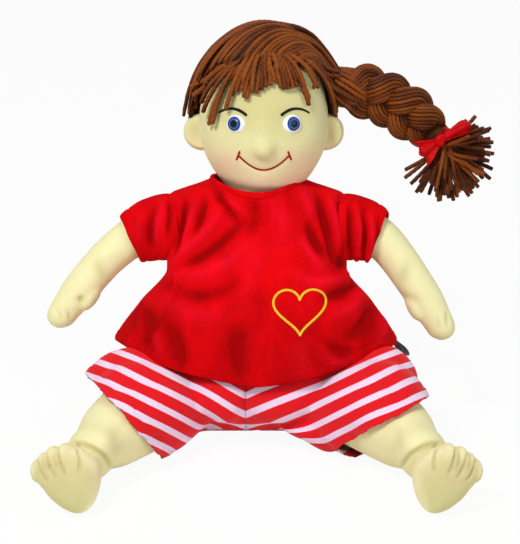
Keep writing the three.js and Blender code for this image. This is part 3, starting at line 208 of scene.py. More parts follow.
def smooth(low, high, at):
    """0 below low, 1 above high, and 3t^2 - 2t^3 between."""
    t = np.clip((np.asarray(at, float) - low) / (high - low), 0, 1)
    return t * t * (3 - 2 * t)


def bump(at, centre, spread):
    """A bell: e to the minus square of the distance from centre over spread."""
    return np.exp(-((np.asarray(at, float) - centre) / spread) ** 2)


def bell(x, z, middle, spread):
    """A bell over two directions: e to the minus sum of the squares of each distance from the
    middle over its own spread."""
    return np.exp(-(((x - middle[0]) / spread[0]) ** 2 + ((z - middle[1]) / spread[1]) ** 2))


def circle(count, start=0.0):
    """Angles at equal steps once round from a start."""
    return np.linspace(start, start + 2 * np.pi, count, endpoint=False)


def spun(points, angle, one, two):
    """Points turned by an angle from the axis numbered one towards the axis numbered two."""
    turned = points.copy()
    turned[..., one] = points[..., one] * np.cos(angle) - points[..., two] * np.sin(angle)
    turned[..., two] = points[..., one] * np.sin(angle) + points[..., two] * np.cos(angle)
    return turned


def cubic(t, gap, low, low_slope, high, high_slope):
    """A cubic piece from low to high over a gap, with a slope at each end."""
    return ((2 * t ** 3 - 3 * t ** 2 + 1) * low + (t ** 3 - 2 * t ** 2 + t) * gap * low_slope
            + (3 * t ** 2 - 2 * t ** 3) * high + (t ** 3 - t ** 2) * gap * high_slope)


def along(table, at):
    """Value at a place between [place, value] pairs: cubic pieces whose slope at a pair is the
    harmonic mean of its neighbours' slopes, and 0 where they turn."""
    places, values = np.array(table, float).T
    at = np.clip(at, places[0], places[-1])
    gaps = np.diff(places)
    slopes = np.diff(values) / gaps
    product = slopes[1:] * slopes[:-1]
    total = slopes[1:] + slopes[:-1]
    inner = np.where(product > 0, 2 * product / np.where(total == 0, 1, total), 0)
    slope = np.concatenate([slopes[:1], inner, slopes[-1:]])
    k = np.clip(np.searchsorted(places, at, side="right") - 1, 0, len(gaps) - 1)
    t = (at - places[k]) / gaps[k]
    return cubic(t, gaps[k], values[k], slope[k], values[k + 1], slope[k + 1])


def curve(points, count):
    """Count points at equal steps along a smooth line through points: cubic pieces over the root
    of the chord length, whose slope at a point is that of the chord between its neighbours."""
    points = np.asarray(points, float)
    chords = np.linalg.norm(np.diff(points, axis=0), axis=1) ** 0.5
    places = np.concatenate([[0], np.cumsum(chords)])
    slopes = np.empty_like(points)
    slopes[1:-1] = (points[2:] - points[:-2]) / (places[2:] - places[:-2])[:, None]
    slopes[0] = (points[1] - points[0]) / chords[0]
    slopes[-1] = (points[-1] - points[-2]) / chords[-1]
    at = np.linspace(0, places[-1], max(count * 4, 64))
    k = np.clip(np.searchsorted(places, at, side="right") - 1, 0, len(chords) - 1)
    t = ((at - places[k]) / chords[k])[:, None]
    return even(cubic(t, chords[k][:, None], points[k], slopes[k], points[k + 1], slopes[k + 1]), count)


def travelled(line):
    """Length along a line at each of its points; lines may be stacked."""
    steps = np.linalg.norm(np.diff(line, axis=-2), axis=-1)
    return np.concatenate([np.zeros(steps.shape[:-1] + (1,)), np.cumsum(steps, -1)], -1)


def sampled(line, place, at):
    """The points of a line at some of the places along it."""
    return np.stack([np.interp(at, place, line[:, k]) for k in range(line.shape[1])], -1)


def even(line, count):
    """The same line with count points at equal steps."""
    place = travelled(line)
    return sampled(line, place, np.linspace(0, place[-1], count))


def squared(sides, tangent):
    """Sides with their share along the tangent taken out, made one long."""
    return unit(sides - (sides * tangent).sum(-1, keepdims=True) * tangent)


# No line runs straight this way, so that a first side can be square to it.
ASKEW = (0.31, 0.17, 0.93)


def frames(lines):
    """Tangent, side and other side along lines: the first side is square to ASKEW, and each next
    one is the last, squared to its tangent, so that it never spins."""
    tangent = unit(np.gradient(lines, axis=-2))
    side = np.empty_like(tangent)
    side[..., 0, :] = unit(np.cross(tangent[..., 0, :], ASKEW))
    for k in range(1, lines.shape[-2]):
        side[..., k, :] = squared(side[..., k - 1, :], tangent[..., k, :])
    return tangent, side, np.cross(tangent, side)


def ring(angle, width, depth, power):
    """A rounded box: x is width sin^(2/p), y is minus depth cos^(2/p), both keeping their sign."""
    s, c = np.sin(angle), np.cos(angle)
    x = np.sign(s) * width * np.abs(s) ** (2 / power)
    y = -np.sign(c) * depth * np.abs(c) ** (2 / power)
    return x, y


# Meshes


def net(rows, columns, closed):
    """Corner numbers of a grid's four-sided faces; closed joins the last column to the first."""
    r = np.arange(rows - 1)[:, None]
    c = np.arange(columns if closed else columns - 1)[None, :]
    n = (c + 1) % columns
    corners = [r * columns + c, r * columns + n, (r + 1) * columns + n, (r + 1) * columns + c]
    return np.stack(corners, -1).reshape(-1, 4)


def net_uv(u, v):
    """Loop UVs that match net: u and v stand at the grid's points, with one more column if it is
    closed."""
    corners = [(slice(None, -1), slice(None, -1)), (slice(None, -1), slice(1, None)),
               (slice(1, None), slice(1, None)), (slice(1, None), slice(None, -1))]
    return np.stack([np.stack([u[k], v[k]], -1) for k in corners], -2).reshape(-1, 4, 2)


def face_normals(points, quads):
    """Cross product of each face's diagonals."""
    return np.cross(points[quads[:, 2]] - points[quads[:, 0]], points[quads[:, 3]] - points[quads[:, 1]])


def normals(points, quads):
    """Sum at each point of its faces' normals, made one long."""
    total = np.zeros_like(points)
    facing = face_normals(points, quads)
    for k in range(4):
        np.add.at(total, quads[:, k], facing)
    return unit(total)


def build(name, points, faces, look, uv=None, marks=None):
    """Puts points in mm and faces (arrays of corner numbers) into a smooth mesh object at the
    origin, with the look of a named material, loop UVs and named values at the points."""
    mesh = bpy.data.meshes.new(name)
    corners = np.concatenate([f.ravel() for f in faces])
    counts = np.concatenate([np.full(len(f), f.shape[1]) for f in faces])
    starts = np.concatenate([[0], np.cumsum(counts)[:-1]])
    mesh.vertices.add(len(points))
    mesh.vertices.foreach_set("co", (points / 1000).astype(np.float32).ravel())
    mesh.loops.add(len(corners))
    mesh.loops.foreach_set("vertex_index", corners.astype(np.int32))
    mesh.polygons.add(len(counts))
    mesh.polygons.foreach_set("loop_start", starts.astype(np.int32))
    mesh.update(calc_edges=True)
    mesh.shade_smooth()
    if uv is not None:
        layer = mesh.uv_layers.new(name="UVMap")
        layer.data.foreach_set("uv", np.asarray(uv, np.float32).ravel())
    for key, values in (marks or {}).items():
        layer = mesh.attributes.new(key, "FLOAT", "POINT")
        layer.data.foreach_set("value", np.asarray(values, np.float32).ravel())
    if look:
        mesh.materials.append(material(look))
    thing = bpy.data.objects.new(name, mesh)
    bpy.context.scene.collection.objects.link(thing)
    return thing


def grid_data(grid, caps=(True, True), uv=None):
    """Points, faces and loop UVs of a grid of rings, turned to face away from the rings' middles.
    A cap closes an end ring with a fan about its middle."""
    rows, columns = grid.shape[:2]
    points = grid.reshape(-1, 3)
    quads = net(rows, columns, True)
    loops = None if uv is None else net_uv(*uv)
    middles = np.repeat(grid.mean(1), columns, axis=0)
    outward = points[quads].mean(1) - middles[quads].mean(1)
    turned = (face_normals(points, quads) * outward).sum() < 0
    if turned:
        quads = quads[:, ::-1]
        loops = None if loops is None else loops[:, ::-1]
    faces = [quads]
    flat = [] if loops is None else [loops.reshape(-1, 2)]
    for end, wanted in zip((0, rows - 1), caps):
        if not wanted:
            continue
        ids = np.arange(columns) + end * columns
        nexts = np.roll(ids, -1)
        middle = np.full(columns, len(points))
        points = np.vstack([points, grid[end].mean(0)])
        fan = np.stack([nexts, ids, middle], -1) if end == 0 else np.stack([ids, nexts, middle], -1)
        fan = fan[:, ::-1] if turned else fan
        faces.append(fan)
        if loops is not None:
            place = loops.reshape(-1, 2)[0 if end == 0 else -1]
            flat.append(np.tile(place, (columns * 3, 1)))
    return points, faces, np.concatenate(flat) if flat else None


def surface(name, grid, look, caps=(True, True), uv=None, marks=None):
    """A mesh object from a grid of rings; caps' middle points take the mean of their ring's marks."""
    points, faces, loops = grid_data(grid, caps, uv)
    full = {}
    for key, values in (marks or {}).items():
        extra = [values[end].mean() for end, wanted in zip((0, -1), caps) if wanted]
        full[key] = np.concatenate([values.ravel(), extra])
    return build(name, points, faces, look, loops, full)


def band_uv(line, count):
    """UV of a band along a line: 0 to 1 over its count columns, and centimetres along it."""
    return np.broadcast_arrays(np.linspace(0, 1, count), travelled(line)[:, None] / 10)


def read_rows(items, key):
    """The three numbers that each of a mesh's items holds under a key."""
    values = np.empty(len(items) * 3, np.float32)
    items.foreach_get(key, values)
    return values.reshape(-1, 3).astype(float)


def read_corners(mesh):
    """The number of the point at each of a mesh's face corners."""
    corners = np.empty(len(mesh.loops), np.int32)
    mesh.loops.foreach_get("vertex_index", corners)
    return corners


def move_points(mesh, points):
    """Puts a mesh's points where they are given."""
    mesh.vertices.foreach_set("co", points.astype(np.float32).ravel())
    mesh.update()


def fused(parts, voxel, rounds):
    """One even skin round several closed shells: Blender's voxel remesh of them together, then
    rounds of Smooth. Gives points in mm and four-sided faces."""
    points, faces, first = [], [], 0
    for shell, sides in parts:
        points.append(shell)
        faces += [f + first for f in sides]
        first += len(shell)
    thing = build("fusing", np.vstack(points), faces, None)
    remesh = thing.modifiers.new("Remesh", "REMESH")
    remesh.mode = "VOXEL"
    remesh.voxel_size = voxel / 1000
    ease = thing.modifiers.new("Smooth", "SMOOTH")
    ease.factor = 0.5
    ease.iterations = rounds
    bpy.context.view_layer.update()
    mesh = bpy.data.meshes.new_from_object(thing.evaluated_get(bpy.context.evaluated_depsgraph_get()))
    result = read_rows(mesh.vertices, "co") * 1000, read_corners(mesh).reshape(-1, 4)
    bpy.data.objects.remove(thing)
    bpy.data.meshes.remove(mesh)
    return result


def pressed(points, facing, strokes):
    """Folds drawn as in the photograph. A stroke is a width in pixels, a height in millimetres and
    the places across and down of a line: points within about a width of the line move along their
    normals by the height times a bell across it and a half sine along it, where they face the
    camera."""
    here = picture(points)
    seen = smooth(0.02, 0.3, facing @ AWAY)
    rise = np.zeros(len(points))
    for width, height, *line in strokes:
        path = curve(np.reshape(line, (-1, 2)), 26)
        low, high = path.min(0) - 3 * width, path.max(0) + 3 * width
        near = np.flatnonzero(((here > low) & (here < high)).all(1))
        if not len(near):
            continue
        apart = np.linalg.norm(here[near][:, None] - path[None], axis=2)
        best = apart.argmin(1)
        reach = np.sin(np.pi * (best + 1) / (len(path) + 1)) ** 0.6
        rise[near] += height * reach * np.exp(-(apart.min(1) / width) ** 2)
    rise *= seen * sizes().fold
    return points + facing * rise[:, None], rise


def tube(line, radii, columns=48, flat=None, across=None, round_ends=(True, True)):
    """Rings along a line: radii holds a radius at each point; flat scales the ring along the side
    that lies nearest to across. Round ends are half balls, by r times the root of 1 - t^2."""
    place = travelled(line)
    size = np.array(radii, float)
    for reach, gone, wanted in zip(size[[0, -1]], (place, place[-1] - place), round_ends):
        if wanted:
            size *= np.sqrt(np.clip(1 - np.clip(1 - gone / reach, 0, 0.999) ** 2, 0, 1))
    tangent, side, other = frames(line)
    if across is not None:
        side = squared(np.asarray(across, float), tangent)
        other = np.cross(tangent, side)
    angle = circle(columns)[None, :, None]
    size = size[:, None, None]
    squeeze = 1 if flat is None else np.asarray(flat)[:, None, None]
    return (line[:, None] + size * squeeze * np.cos(angle) * side[:, None]
            + size * np.sin(angle) * other[:, None])


def ball(centre, axes, sizes_of, rows=30, columns=40, power=2.0):
    """An ellipsoid: three unit axes and their half sizes, with powers over 2 for a boxier one."""
    tilt = np.linspace(0.02, np.pi - 0.02, rows)[:, None]
    turn = circle(columns)[None, :]
    parts = [np.sin(tilt) * np.cos(turn), np.sin(tilt) * np.sin(turn), np.cos(tilt) * np.ones_like(turn)]
    parts = [np.sign(p) * np.abs(p) ** (2 / power) for p in parts]
    axes = np.asarray(axes, float)
    return np.asarray(centre, float) + sum(
        p[..., None] * h * axis for p, h, axis in zip(parts, sizes_of, axes))


def yarns(name, paths, radius=None, sides=9, shade=None, ends=0.75, swell=0.13, core=None, sunk=None):
    """Many hair yarns as one mesh. Round each point of a path stands a ring whose radius swells three
    times a turn, one swelling for each ply, and the swellings and the UV turn once each twist
    length. Core is the middle that the path lies on: the side that faces it is marked as deep, and
    so is the whole yarn by its share sunk at each point of its path; deep is painted shade."""
    count, steps = paths.shape[:2]
    thick = sizes().yarn * 500 if radius is None else radius
    thick = np.broadcast_to(thick, (count, steps)).copy()
    thick[:, 0] *= ends
    thick[:, -1] *= ends
    tangent, side, other = frames(paths)
    place = travelled(paths)
    first = np.random.default_rng(7).uniform(0, 2 * np.pi, count)[:, None]
    twist = first + place * 2 * np.pi / (sizes().yarn_pitch * 1000)
    angle = circle(sides)
    out = thick[..., None] * (1 + swell * np.cos(3 * (angle - twist[..., None])))
    rings = (paths[:, :, None] + (out * np.cos(angle))[..., None] * side[:, :, None]
             + (out * np.sin(angle))[..., None] * other[:, :, None])
    tips = np.stack([paths[:, 0] - tangent[:, 0] * 0.3, paths[:, -1] + tangent[:, -1] * 0.3], 1)
    points = np.concatenate([rings.reshape(count, -1, 3), tips], 1)
    each = points.shape[1]
    quads = net(steps, sides, True)
    ids = np.arange(sides)
    low = np.stack([np.roll(ids, -1), ids, np.full(sides, each - 2)], -1)
    last = ids + (steps - 1) * sides
    high = np.stack([last, np.roll(last, -1), np.full(sides, each - 1)], -1)
    shift = (np.arange(count) * each)[:, None, None]
    faces = [(f[None] + shift).reshape(-1, f.shape[1]) for f in (quads, low, high)]
    u = np.arange(sides + 1) / sides - twist[..., None] / (2 * np.pi)
    v = np.broadcast_to((place / 10)[..., None], (count, steps, sides + 1))
    loops = [np.concatenate([net_uv(u[k], v[k]).reshape(-1, 2) for k in range(count)])]
    for end in (0, -1):
        flat = np.stack([np.full(count, 0.5), v[:, end, 0]], -1)
        loops.append(np.repeat(flat, sides * 3, axis=0))
    tone = np.random.default_rng(11).uniform(0, 1, count) if shade is None else shade
    deep = np.zeros((count, each))
    if core is not None:
        facing = (unit(rings - paths[:, :, None]) * unit(paths - core)[:, :, None]).sum(-1)
        deep[:, :-2] = smooth(0.5, -0.45, facing).reshape(count, -1)
    if sunk is not None:
        deep[:, :-2] = np.maximum(deep[:, :-2], np.repeat(sunk, sides, axis=1))
    marks = {"shade": np.repeat(tone, each), "deep": deep.ravel()}
    return build(name, points.reshape(-1, 3), faces, "hair_yarn", np.concatenate(loops), marks)


# Materials


def feed(tree, node, inputs):
    """Fills a node's sockets, by number or name, each with a value or with a link from a socket or
    from the first result of a node."""
    for key, value in inputs.items() if isinstance(inputs, dict) else enumerate(inputs):
        if isinstance(value, bpy.types.Node):
            value = next(result for result in value.outputs if result.enabled)
        if isinstance(value, bpy.types.NodeSocket):
            tree.links.new(value, node.inputs[key])
        else:
            node.inputs[key].default_value = value


def put(tree, kind, inputs=(), **settings):
    """Adds a node of a kind, with its own settings, and fills its sockets."""
    node = tree.nodes.new("ShaderNode" + kind)
    for key, value in settings.items():
        setattr(node, key, value)
    feed(tree, node, inputs)
    return node


def finish(name, values):
    """A new material by its name, its node tree and its shader, with values on the shader's sockets."""
    made = bpy.data.materials.new(name)
    made.use_nodes = True
    shader = made.node_tree.nodes["Principled BSDF"]
    feed(made.node_tree, shader, values)
    return made, made.node_tree, shader


def paint(name, share=1.0):
    """A colour by its name among the doll's colours or by its hex code, darkened to a share."""
    known = getattr(bpy.context.scene.doll_colours, name, None)
    return (*(c * share for c in (linear(name) if known is None else known)), 1.0)


def per(size):
    """Texture scale that makes a feature of that many millimetres on Object coordinates."""
    return 1000.0 / size


def waves(tree, place, count):
    """A sine that swings count times over each unit of place."""
    turn = put(tree, "Math", [place, 2 * math.pi * count], operation="MULTIPLY")
    return put(tree, "Math", [turn], operation="SINE")


def brushed_knit():
    """Brushed polyester knit, stuffed: matt cream with a short soft nap that catches light at the
    edges, faint blotches where the filling shows, and painted shade and shadow in creases, hollows
    and places turned from the light."""
    made, tree, shader = finish("brushed_knit_skin", {
        "Roughness": 0.9, "Specular IOR Level": 0.25, "Sheen Weight": 0.16, "Sheen Roughness": 0.45,
        "Sheen Tint": paint("FFF6DC")})
    place = put(tree, "TexCoord").outputs["Object"]
    blotch = put(tree, "TexNoise", {"Vector": place, "Scale": per(26), "Detail": 3})
    # The loops are about 0.6 mm apart, drawn at 1.3 mm so that they show at all.
    nap = put(tree, "TexNoise", {"Vector": place, "Scale": per(1.3), "Detail": 4, "Roughness": 0.65})
    # Painted shade and shadow, set on each piece where the knit lies in a crease, a hollow or out of the
    # light.
    press = put(tree, "Attribute", attribute_name="press").outputs["Fac"]
    blush = put(tree, "Attribute", attribute_name="blush").outputs["Fac"]
    tone = put(tree, "MapRange", [blotch, 0.3, 0.75, 0, 0.2])
    fibres = put(tree, "MapRange", [nap, 0.3, 0.7, 0, 0.1])
    total = put(tree, "Math", [tone, fibres], operation="ADD")
    total = put(tree, "Math", [total, press], operation="ADD", use_clamp=True)
    base = put(tree, "Mix", {0: total, 6: paint("skin"), 7: paint("skin_shade")}, data_type="RGBA")
    rosy = put(tree, "Mix", {0: blush, 6: base, 7: paint("blush")}, data_type="RGBA")
    raised = put(tree, "Bump", {"Height": nap, "Strength": 0.35, "Distance": 0.0004})
    feed(tree, shader, {"Base Color": rosy, "Normal": raised})
    return made


def red_velour():
    """Knitted velour: a dense upright pile about 1.5 mm long. It is a deep saturated red that hardly
    reflects where it faces the eye, with a pinkish sheen where the pile is seen from the side. Its
    colour carries painted shade in the fold valleys, a darker tone towards the hem and a pinkish
    painted highlight on the ridges."""
    made, tree, shader = finish("red_velour", {
        "Roughness": 0.9, "Specular IOR Level": 0.06, "Sheen Weight": 0.75, "Sheen Roughness": 0.26,
        "Sheen Tint": paint("velour_sheen")})
    place = put(tree, "TexCoord").outputs["Object"]
    stretched = put(tree, "Mapping", {"Vector": place, "Rotation": (0.2, 0.5, 0.3), "Scale": (1, 1, 0.45)})
    brushed = put(tree, "TexNoise", {"Vector": stretched, "Scale": per(22), "Detail": 3, "Distortion": 0.4})
    # One tuft is about 0.4 mm wide, drawn at 1.1 mm so that the pile shows.
    pile = put(tree, "TexNoise", {"Vector": place, "Scale": per(1.1), "Detail": 4, "Roughness": 0.7})
    lean = put(tree, "MapRange", [brushed, 0.36, 0.7, 0, 0.45])
    total = put(tree, "Math", [pile, 0.7, lean], operation="MULTIPLY_ADD")
    # Painted shade in the fold valleys and darker towards the hem, and a painted highlight on the fold
    # ridges.
    fold_shade = put(tree, "Attribute", attribute_name="press").outputs["Fac"]
    lifted = put(tree, "Attribute", attribute_name="bloom").outputs["Fac"]
    total = put(tree, "Math", [total, fold_shade], operation="ADD")
    total = put(tree, "Math", [total, 0.22], operation="SUBTRACT", use_clamp=True)
    base = put(tree, "Mix", {0: total, 6: paint("velour"), 7: paint("velour_dark")}, data_type="RGBA")
    base = put(tree, "Mix", {0: lifted, 6: base, 7: paint("velour_sheen")}, data_type="RGBA")
    raised = put(tree, "Bump", {"Height": pile, "Strength": 0.5, "Distance": 0.0006})
    feed(tree, shader, {"Base Color": base, "Normal": raised})
    return made


def striped_jersey():
    """Yarn-dyed single jersey: two colours knitted in courses, so the stripes have slightly ragged
    edges and run round the leg. Matt, with fine upright wales and a lilac cast in the white."""
    made, tree, shader = finish("striped_jersey", {
        "Roughness": 0.85, "Specular IOR Level": 0.3, "Sheen Weight": 0.08, "Sheen Roughness": 0.5})
    place = put(tree, "TexCoord")
    split = put(tree, "SeparateXYZ", [place.outputs["UV"]])
    ragged = put(tree, "TexNoise", {"Vector": place.outputs["Object"], "Scale": per(1.4), "Detail": 2})
    shift = put(tree, "Math", [ragged, 0.03, split.outputs["Y"]], operation="MULTIPLY_ADD")
    back_and_forth = put(tree, "Math", [shift, 0.5], operation="PINGPONG")
    red = put(tree, "MapRange", [back_and_forth, 0.16, 0.205], interpolation_type="SMOOTHSTEP")
    # Wales are about 0.7 mm apart, drawn at 1.2 mm.
    wale = waves(tree, split.outputs["X"], 10 / 1.2)
    course = waves(tree, split.outputs["Y"], 12)
    loops = put(tree, "Math", [wale, course], operation="ADD")
    worn = put(tree, "MapRange", [ragged, 0.25, 0.8, 0, 0.22])
    white = put(tree, "Mix", {0: worn, 6: paint("stripe_white"), 7: paint("C9B4D8")}, data_type="RGBA")
    deep = put(tree, "Mix", {0: worn, 6: paint("stripe_red"), 7: paint("96000F")}, data_type="RGBA")
    base = put(tree, "Mix", {0: red, 6: white, 7: deep}, data_type="RGBA")
    raised = put(tree, "Bump", {"Height": loops, "Strength": 0.25, "Distance": 0.0002})
    feed(tree, shader, {"Base Color": base, "Normal": raised})
    return made


def plied_yarn():
    """Soft acrylic craft yarn of three loosely twisted plies: chestnut with an orange cast where light
    falls on it, painted shade between the plies and where yarns lie against each other, fibrous and
    matt. Each yarn has its own tone."""
    made, tree, shader = finish("plied_hair_yarn", {
        "Roughness": 0.62, "Specular IOR Level": 0.16, "Sheen Weight": 0.14, "Sheen Roughness": 0.4,
        "Sheen Tint": paint("D98A3C")})
    place = put(tree, "TexCoord")
    split = put(tree, "SeparateXYZ", [place.outputs["UV"]])
    around = put(tree, "Math", [split.outputs["X"], 6 * math.pi], operation="MULTIPLY")
    ply = put(tree, "Math", [around], operation="COSINE")
    # Painted shade between the plies.
    groove = put(tree, "MapRange", [ply, -1, 0.1, 0.22, 0])
    fibres = put(tree, "TexNoise", {"Vector": place.outputs["Object"], "Scale": per(1.0), "Detail": 3})
    drift = put(tree, "TexNoise", {"Vector": place.outputs["Object"], "Scale": per(16), "Detail": 1})
    tone = put(tree, "Attribute", attribute_name="shade").outputs["Fac"]
    own = put(tree, "Math", [tone, 0.7, -0.35], operation="MULTIPLY_ADD")
    fine = put(tree, "Math", [fibres, 0.5, drift], operation="MULTIPLY_ADD")
    total = put(tree, "Math", [groove, own], operation="ADD")
    total = put(tree, "Math", [total, fine], operation="ADD")
    # The side that faces its neighbours gets little light, so each yarn reads on its own.
    deep = put(tree, "Attribute", attribute_name="deep").outputs["Fac"]
    total = put(tree, "Math", [deep, 0.9, total], operation="MULTIPLY_ADD")
    total = put(tree, "Math", [total, 0.58], operation="SUBTRACT", use_clamp=True)
    base = put(tree, "Mix", {0: total, 6: paint("hair"), 7: paint("hair_dark")}, data_type="RGBA")
    height = put(tree, "Math", [fibres, 0.8, ply], operation="MULTIPLY_ADD")
    raised = put(tree, "Bump", {"Height": height, "Strength": 0.22, "Distance": 0.0004})
    feed(tree, shader, {"Base Color": base, "Normal": raised})
    return made


def satin_ribbon():
    """Woven polyester satin: smooth long floats that give a soft streaky gloss across the ribbon."""
    made, tree, shader = finish("red_satin_ribbon", {
        "Roughness": 0.42, "Specular IOR Level": 0.08, "Anisotropic": 0.5})
    place = put(tree, "TexCoord")
    split = put(tree, "SeparateXYZ", [place.outputs["UV"]])
    # Threads are about 0.3 mm apart, drawn at 0.9 mm.
    rib = waves(tree, split.outputs["Y"], 10 / 0.9)
    streak = put(tree, "TexNoise", {"Vector": place.outputs["Object"], "Scale": per(4), "Detail": 2})
    amount = put(tree, "MapRange", [streak, 0.3, 0.75, 0, 0.5])
    base = put(tree, "Mix", {0: amount, 6: paint("ribbon"), 7: paint("8E0207")}, data_type="RGBA")
    raised = put(tree, "Bump", {"Height": rib, "Strength": 0.2, "Distance": 0.0001})
    feed(tree, shader, {"Base Color": base, "Normal": raised})
    return made


def embroidery(name, tint):
    """Rayon embroidery thread in satin stitch: close slanting threads with a soft shine along them."""
    made, tree, shader = finish(name, {"Roughness": 0.5, "Specular IOR Level": 0.2})
    split = put(tree, "SeparateXYZ", [put(tree, "TexCoord").outputs["UV"]])
    # Threads are 0.4 mm apart, drawn at 0.8 mm.
    slant = put(tree, "Math", [split.outputs["X"], 0.16, split.outputs["Y"]], operation="MULTIPLY_ADD")
    thread = waves(tree, slant, 10 / 0.8)
    # Painted shade between the threads: a darkened copy of the thread colour.
    dark = put(tree, "MapRange", [thread, -1, 0.2, 0.3, 0])
    base = put(tree, "Mix", {0: dark, 6: paint(tint), 7: paint(tint, 0.45)}, data_type="RGBA")
    raised = put(tree, "Bump", {"Height": thread, "Strength": 0.6, "Distance": 0.0003})
    feed(tree, shader, {"Base Color": base, "Normal": raised})
    return made


# Radii on the eye, in millimetres

PUPIL = 3.0
IRIS = 6.0


def eye_plastic():
    """Injection-moulded acrylic eye with the iris printed under a clear glossy dome: rings of blue
    with fine spokes, a black pupil and a white that is a little blue. UV is millimetres over ten."""
    made, tree, shader = finish("moulded_eye_plastic", {
        "Roughness": 0.07, "IOR": 1.49, "Specular IOR Level": 0.22})
    place = put(tree, "TexCoord").outputs["UV"]
    scaled = put(tree, "VectorMath", [place, (10, 10, 0)], operation="MULTIPLY")
    apart = put(tree, "VectorMath", [scaled], operation="LENGTH")
    parts = put(tree, "SeparateXYZ", [scaled])
    turn = put(tree, "Math", [parts.outputs["Y"], parts.outputs["X"]], operation="ARCTAN2")
    spokes = waves(tree, turn, 26 / (2 * math.pi))
    spokes = put(tree, "MapRange", [spokes, -1, 1, 0, 0.18])
    ring_start = put(tree, "MapRange", [apart, 3.0, 3.7], interpolation_type="SMOOTHSTEP")
    ring_end = put(tree, "MapRange", [apart, 4.3, 4.9, 1, 0], interpolation_type="SMOOTHSTEP")
    paler = put(tree, "Math", [ring_start, ring_end], operation="MULTIPLY")
    paler = put(tree, "Math", [paler, 0.75, spokes], operation="MULTIPLY_ADD", use_clamp=True)
    blue = put(tree, "Mix", {0: paler, 6: paint("iris"), 7: paint("iris_light")}, data_type="RGBA")
    rim = put(tree, "MapRange", [apart, IRIS - 0.9, IRIS - 0.2])
    blue = put(tree, "Mix", {0: rim, 6: blue, 7: paint("142C62")}, data_type="RGBA")
    hole = put(tree, "MapRange", [apart, PUPIL - 0.15, PUPIL + 0.15])
    dark = put(tree, "Mix", {0: hole, 6: paint("020203"), 7: blue}, data_type="RGBA")
    outside = put(tree, "MapRange", [apart, IRIS - 0.12, IRIS + 0.12])
    base = put(tree, "Mix", {0: outside, 6: dark, 7: paint("white_of_eye")}, data_type="RGBA")
    feed(tree, shader, {"Base Color": base})
    return made


def washer_plastic():
    """Moulded nylon: milky white, satin, with the faint flow marks of its mould."""
    made, tree, shader = finish("moulded_nylon_washer", {"Roughness": 0.45, "IOR": 1.53})
    place = put(tree, "TexCoord").outputs["Object"]
    flow = put(tree, "TexNoise", {"Vector": place, "Scale": per(3), "Detail": 3})
    base = put(tree, "Mix", {0: flow, 6: paint("ECEAE4"), 7: paint("D8D5CC")}, data_type="RGBA")
    raised = put(tree, "Bump", {"Height": flow, "Strength": 0.1, "Distance": 0.0002})
    feed(tree, shader, {"Base Color": base, "Normal": raised})
    return made


def closure_tape(name, cell, depth):
    """Woven nylon closure tape: a fuzz of small loops, or rows of stiff hooks, on a flat ground."""
    made, tree, shader = finish(name, {"Roughness": 0.7, "Sheen Weight": 0.2})
    place = put(tree, "TexCoord").outputs["Object"]
    cells = put(tree, "TexVoronoi", {"Vector": place, "Scale": per(cell)})
    base = put(tree, "Mix", {0: cells, 6: paint("tape"), 7: paint("6E0A10")}, data_type="RGBA")
    raised = put(tree, "Bump", {"Height": cells, "Strength": 0.8, "Distance": depth / 1000})
    feed(tree, shader, {"Base Color": base, "Normal": raised})
    return made


def ribbed_weave(name, tint, shaded, pitch):
    """Narrow woven or knitted band: fine upright ribs across a matt ground."""
    made, tree, shader = finish(name, {"Roughness": 0.75, "Specular IOR Level": 0.3, "Sheen Weight": 0.1})
    place = put(tree, "TexCoord")
    ribs = put(tree, "TexWave", {"Vector": place.outputs["UV"], "Scale": 10 / pitch / 2, "Distortion": 0.4},
               wave_type="BANDS", bands_direction="X")
    fine = put(tree, "TexNoise", {"Vector": place.outputs["Object"], "Scale": per(0.8)})
    total = put(tree, "Math", [ribs.outputs["Fac"], 0.6, fine], operation="MULTIPLY_ADD", use_clamp=True)
    base = put(tree, "Mix", {0: total, 6: paint(shaded), 7: paint(tint)}, data_type="RGBA")
    raised = put(tree, "Bump", {"Height": total, "Strength": 0.5, "Distance": 0.0003})
    feed(tree, shader, {"Base Color": base, "Normal": raised})
    return made


FINISHES = {}


def material(name):
    """The named finish, made the first time that a piece asks for it."""
    makers = {
        "skin_knit": brushed_knit,
        "velour": red_velour,
        "striped_jersey": striped_jersey,
        "hair_yarn": plied_yarn,
        "satin_ribbon": satin_ribbon,
        "eye_plastic": eye_plastic,
        "washer_plastic": washer_plastic,
        "black_thread": lambda: embroidery("black_brow_thread", "brow"),
        "red_thread": lambda: embroidery("red_mouth_thread", "mouth"),
        "yellow_thread": lambda: embroidery("yellow_heart_thread", "heart"),
        "loop_tape": lambda: closure_tape("nylon_loop_tape", 0.9, 0.5),
        "hook_tape": lambda: closure_tape("nylon_hook_tape", 1.4, 0.9),
        "elastic": lambda: ribbed_weave("knitted_elastic", "F2EFEA", "C9C4BC", 1.4),
        "label_weave": lambda: ribbed_weave("woven_label", "label", "26252B", 0.9),
    }
    if name not in FINISHES:
        FINISHES[name] = makers[name]()
    return FINISHES[name]


def placed(thing, nodes, body=None, between=None):
    """Ties a finished piece to the frame: hides the solids it stands for, and hangs it on the body it
    rides on; given two bodies with a start and an end, it only bakes its place into its points."""
    if nodes:
        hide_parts(*nodes)
    if between is None:
        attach(thing, body)
    else:
        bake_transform(thing)
    return thing


# Head and face, in millimetres from the neck's joint

SIDES = ((-1, "right"), (1, "left"))
JAW = 56.5
CHIN = 67.5
CROWN = 85.0
CROWN_POWER = 2.15
CHIN_POWER = 1.64
EYE_X, EYE_Z = 24.5, 7.0
EYE_WIDE, EYE_TALL = 17.0, 15.5
NOSE_Z = -14.0
MOUTH_HALF, MOUTH_Z, MOUTH_DROP = 21.0, -20.0, 12.5
THREAD_LIFT = 0.25


